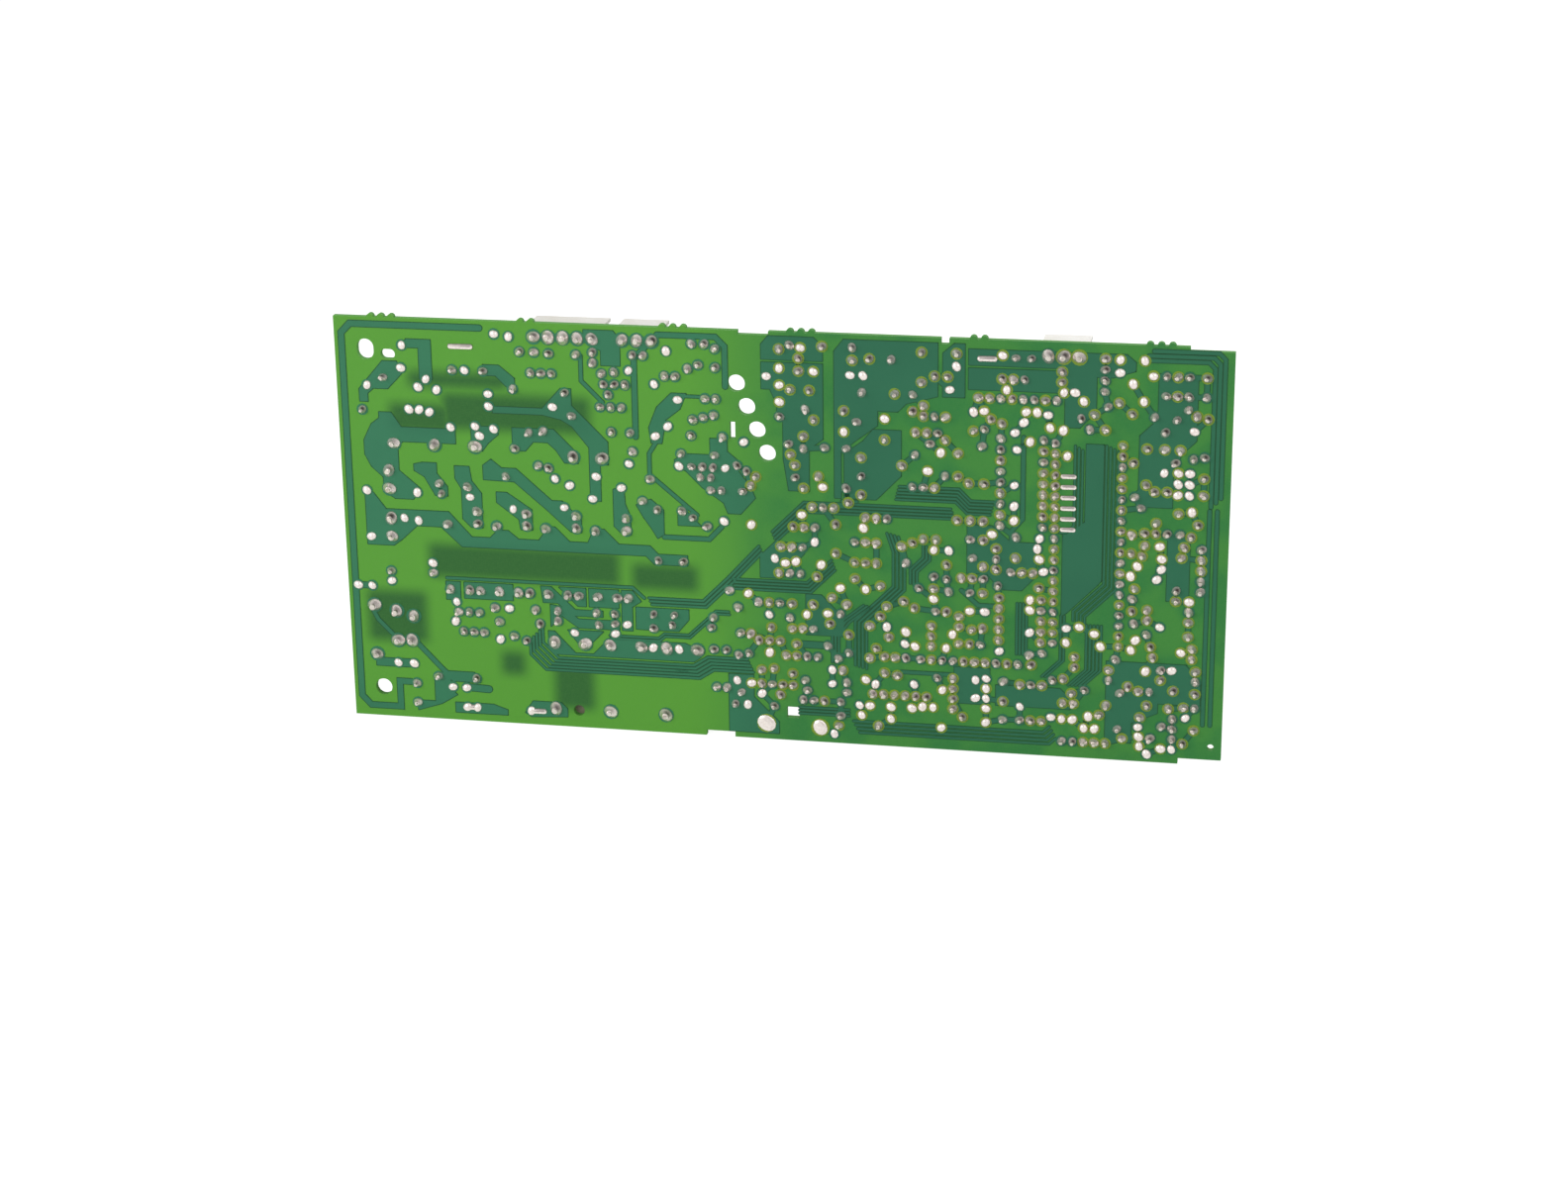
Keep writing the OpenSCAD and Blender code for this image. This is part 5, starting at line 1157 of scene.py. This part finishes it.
@dataclass
class Workshop:
    """Gives every carried-over CAD node its finish."""

    frame: dict[str, Any]

    def finishes(self) -> dict[str, bpy.types.Material]:
        """Makes one material for each slot of the record, apart from the board's own."""
        made = [
            Metal("tin_plate", srgb(206, 200, 190), srgb(140, 130, 118)),
            Metal("nickel", srgb(212, 206, 192), srgb(150, 140, 120), 0.18),
            Metal("brass", srgb(214, 190, 128), srgb(150, 120, 70), 0.25),
            Metal("can_aluminium", srgb(214, 216, 218), srgb(160, 162, 166), 0.28),
            Metal("sink_aluminium", srgb(190, 192, 196), srgb(120, 124, 130), 0.38),
            Moulding("black_moulding", srgb(24, 24, 26), srgb(36, 35, 35), 0.42),
            Moulding("cream_moulding", srgb(240, 238, 230), srgb(232, 228, 216), 0.36),
            Moulding("bobbin_moulding", srgb(150, 142, 122), srgb(128, 120, 102), 0.4),
            Moulding("ceramic_coat", srgb(190, 120, 58), srgb(160, 92, 44), 0.4, 0.6 * MM,
                     0.04 * MM),
            Moulding("surge_coat", srgb(36, 74, 130), srgb(26, 56, 104), 0.25, 0.8 * MM,
                     0.04 * MM),
            Moulding("sleeve", srgb(28, 34, 52), srgb(20, 24, 40), 0.28),
            Moulding("film_coat", srgb(186, 142, 44), srgb(160, 116, 32), 0.3, 0.6 * MM,
                     0.03 * MM),
            Laminations(),
            Winding("copper_wire", srgb(164, 84, 40), srgb(70, 30, 14), 0.3 * MM, 0.12 * MM,
                    0.22),
            Winding("tape", srgb(214, 184, 64), srgb(170, 140, 40), 5 * MM, 0.06 * MM, 0.3)]
        finished = {finish.name: finish.build() for finish in made}
        tree = Tree("glass")
        smear = tree.noise(2 * MM, 3)
        finished["glass"] = tree.surface(Base_Color=srgb(226, 236, 234), Roughness=smear * 0.06,
                                         Alpha=0.25 + smear * 0.1, Coat_Weight=0.5)
        return finished

    def dress(self, finished: dict[str, bpy.types.Material]) -> None:
        """Puts each finish on the nodes whose slot it belongs to.

        Args:
            finished: a material for each slot's name.
        """
        for part in self.frame["record"]["subparts"]:
            node = self.frame["nodes"][part["node"]]
            for place in node.material_slots:
                place.material = finished[part["material_slot"]]
            LOG.info("%s: %s", part["node"], part["material_slot"])


# ---- the studio ----

@dataclass(frozen=True)
class Lamp:
    """A soft square lamp."""

    name: str
    place: Point
    size: float                             # its side, in metres
    power: float                            # in watts

    def hang(self, aim: Point) -> None:
        """Hangs the lamp so that it faces a point.

        Args:
            aim: the point.
        """
        data = bpy.data.lights.new(self.name, "AREA")
        data.size = self.size
        data.energy = self.power
        lamp = bpy.data.objects.new(self.name, data)
        lamp.location = self.place
        way = np.array(aim) - np.array(self.place)
        flat = math.hypot(way[0], way[1])
        lamp.rotation_euler = (math.atan2(flat, -way[2]), 0, math.atan2(-way[0], way[1]))
        bpy.context.collection.objects.link(lamp)


@dataclass
class Studio:
    """Camera, lamps, world and floor."""

    eye: Point = (0.23336, -0.67702, 0.26843)
    turn: Point = (70.885, 0.644, 10.957)
    lens: float = 71.43
    sensor: float = 36
    middle: Point = (0.0975, 0.0, 0.042)    # the middle of the board, which the lamps face
    lamps: tuple[Lamp, ...] = (
        Lamp("key", (-0.5, -0.8, 0.35), 0.5, 3.0), Lamp("fill", (0.7, -0.9, 0.6), 0.8, 2.2),
        Lamp("back", (0.2, 0.9, 0.7), 0.8, 5.0))
    floor_level: float = -0.0076
    floor_half: float = 3.0
    daylight: float = 0.4                   # what the world gives where it isn't seen
    glow: float = 0.86                      # the floor's own light, which makes it look white

    def camera(self) -> None:
        """Stands the camera where it sees the board from above and a little to its right."""
        data = bpy.data.cameras.new("camera")
        data.lens = self.lens
        data.sensor_width = self.sensor
        data.clip_start = 0.01
        camera = bpy.data.objects.new("camera", data)
        camera.location = self.eye
        camera.rotation_euler = tuple(math.radians(angle) for angle in self.turn)
        bpy.context.collection.objects.link(camera)
        bpy.context.scene.camera = camera

    def seen(self, tree: Tree) -> Shade:
        """1 for a ray that looks straight at a surface, in gloss or through glass, else 0."""
        path = tree.node("ShaderNodeLightPath", {}, {}, "Is Camera Ray")
        gloss, through = (Shade(tree, path.socket.node.outputs[name])
                          for name in ("Is Glossy Ray", "Is Transmission Ray"))
        return path | gloss | through

    def backdrop(self) -> None:
        """Makes the world white wherever it is seen, and dimmer where it only lights."""
        world = bpy.data.worlds.new("studio")
        bpy.context.scene.world = world
        tree = Tree("studio", world)
        strength = self.seen(tree).ramp(0, 1, self.daylight, 1.0)
        sky = tree.node("ShaderNodeBackground", {}, {"Color": WHITE, "Strength": strength})
        tree.links.new(sky.socket, tree.end.inputs[0])

    def floor(self) -> None:
        """Lays a plain pale floor that looks white and still takes a shadow."""
        square = np.array([(-1, -1), (1, -1), (1, 1), (-1, 1)]) * self.floor_half
        mesh = bpy.data.meshes.new("floor")
        mesh.from_pydata([(x, y, self.floor_level) for x, y in square.tolist()], [],
                         [(0, 1, 2, 3)])
        floor = bpy.data.objects.new("floor", mesh)
        bpy.context.collection.objects.link(floor)
        tree = Tree("floor")
        glow = tree.blend(self.seen(tree), (0.1, 0.1, 0.1), WHITE)
        floor.data.materials.append(tree.surface(
            Base_Color=(0.4, 0.4, 0.4), Roughness=0.95, Specular_IOR_Level=0.0,
            Emission_Color=glow, Emission_Strength=self.glow))
        floor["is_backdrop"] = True

    def build(self) -> None:
        """Sets up the whole studio."""
        bpy.context.scene.view_settings.view_transform = "Standard"
        self.camera()
        self.backdrop()
        self.floor()
        for lamp in self.lamps:
            lamp.hang(self.middle)


def corners() -> list[list[float]]:
    """The whole object's box as plain lists, in metres."""
    return [[float(value) for value in corner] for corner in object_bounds()]


def main() -> None:
    """Builds the studio, the soldered face and the parts behind it, in that order."""
    logging.basicConfig(level=logging.INFO, format="%(message)s")
    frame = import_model()
    Studio().build()
    workshop = Workshop(frame)
    finished = workshop.finishes()
    board = BoardFinish()
    finished["laminate"] = board.laminate()
    finished["lacquered_foil"] = board.lacquer()
    finished["solder"] = Solder().build()
    finished["resistor_coat"] = finished["ceramic_coat"]
    workshop.dress(finished)
    Foil(frame, finished["lacquered_foil"]).build()
    SolderJoints(frame, finished["solder"]).build()
    TinnedBars(frame, finished["solder"]).build()
    AxialParts(frame).build()
    FuseWire(frame).build(finished["nickel"])


if __name__ == "__main__":
    main()
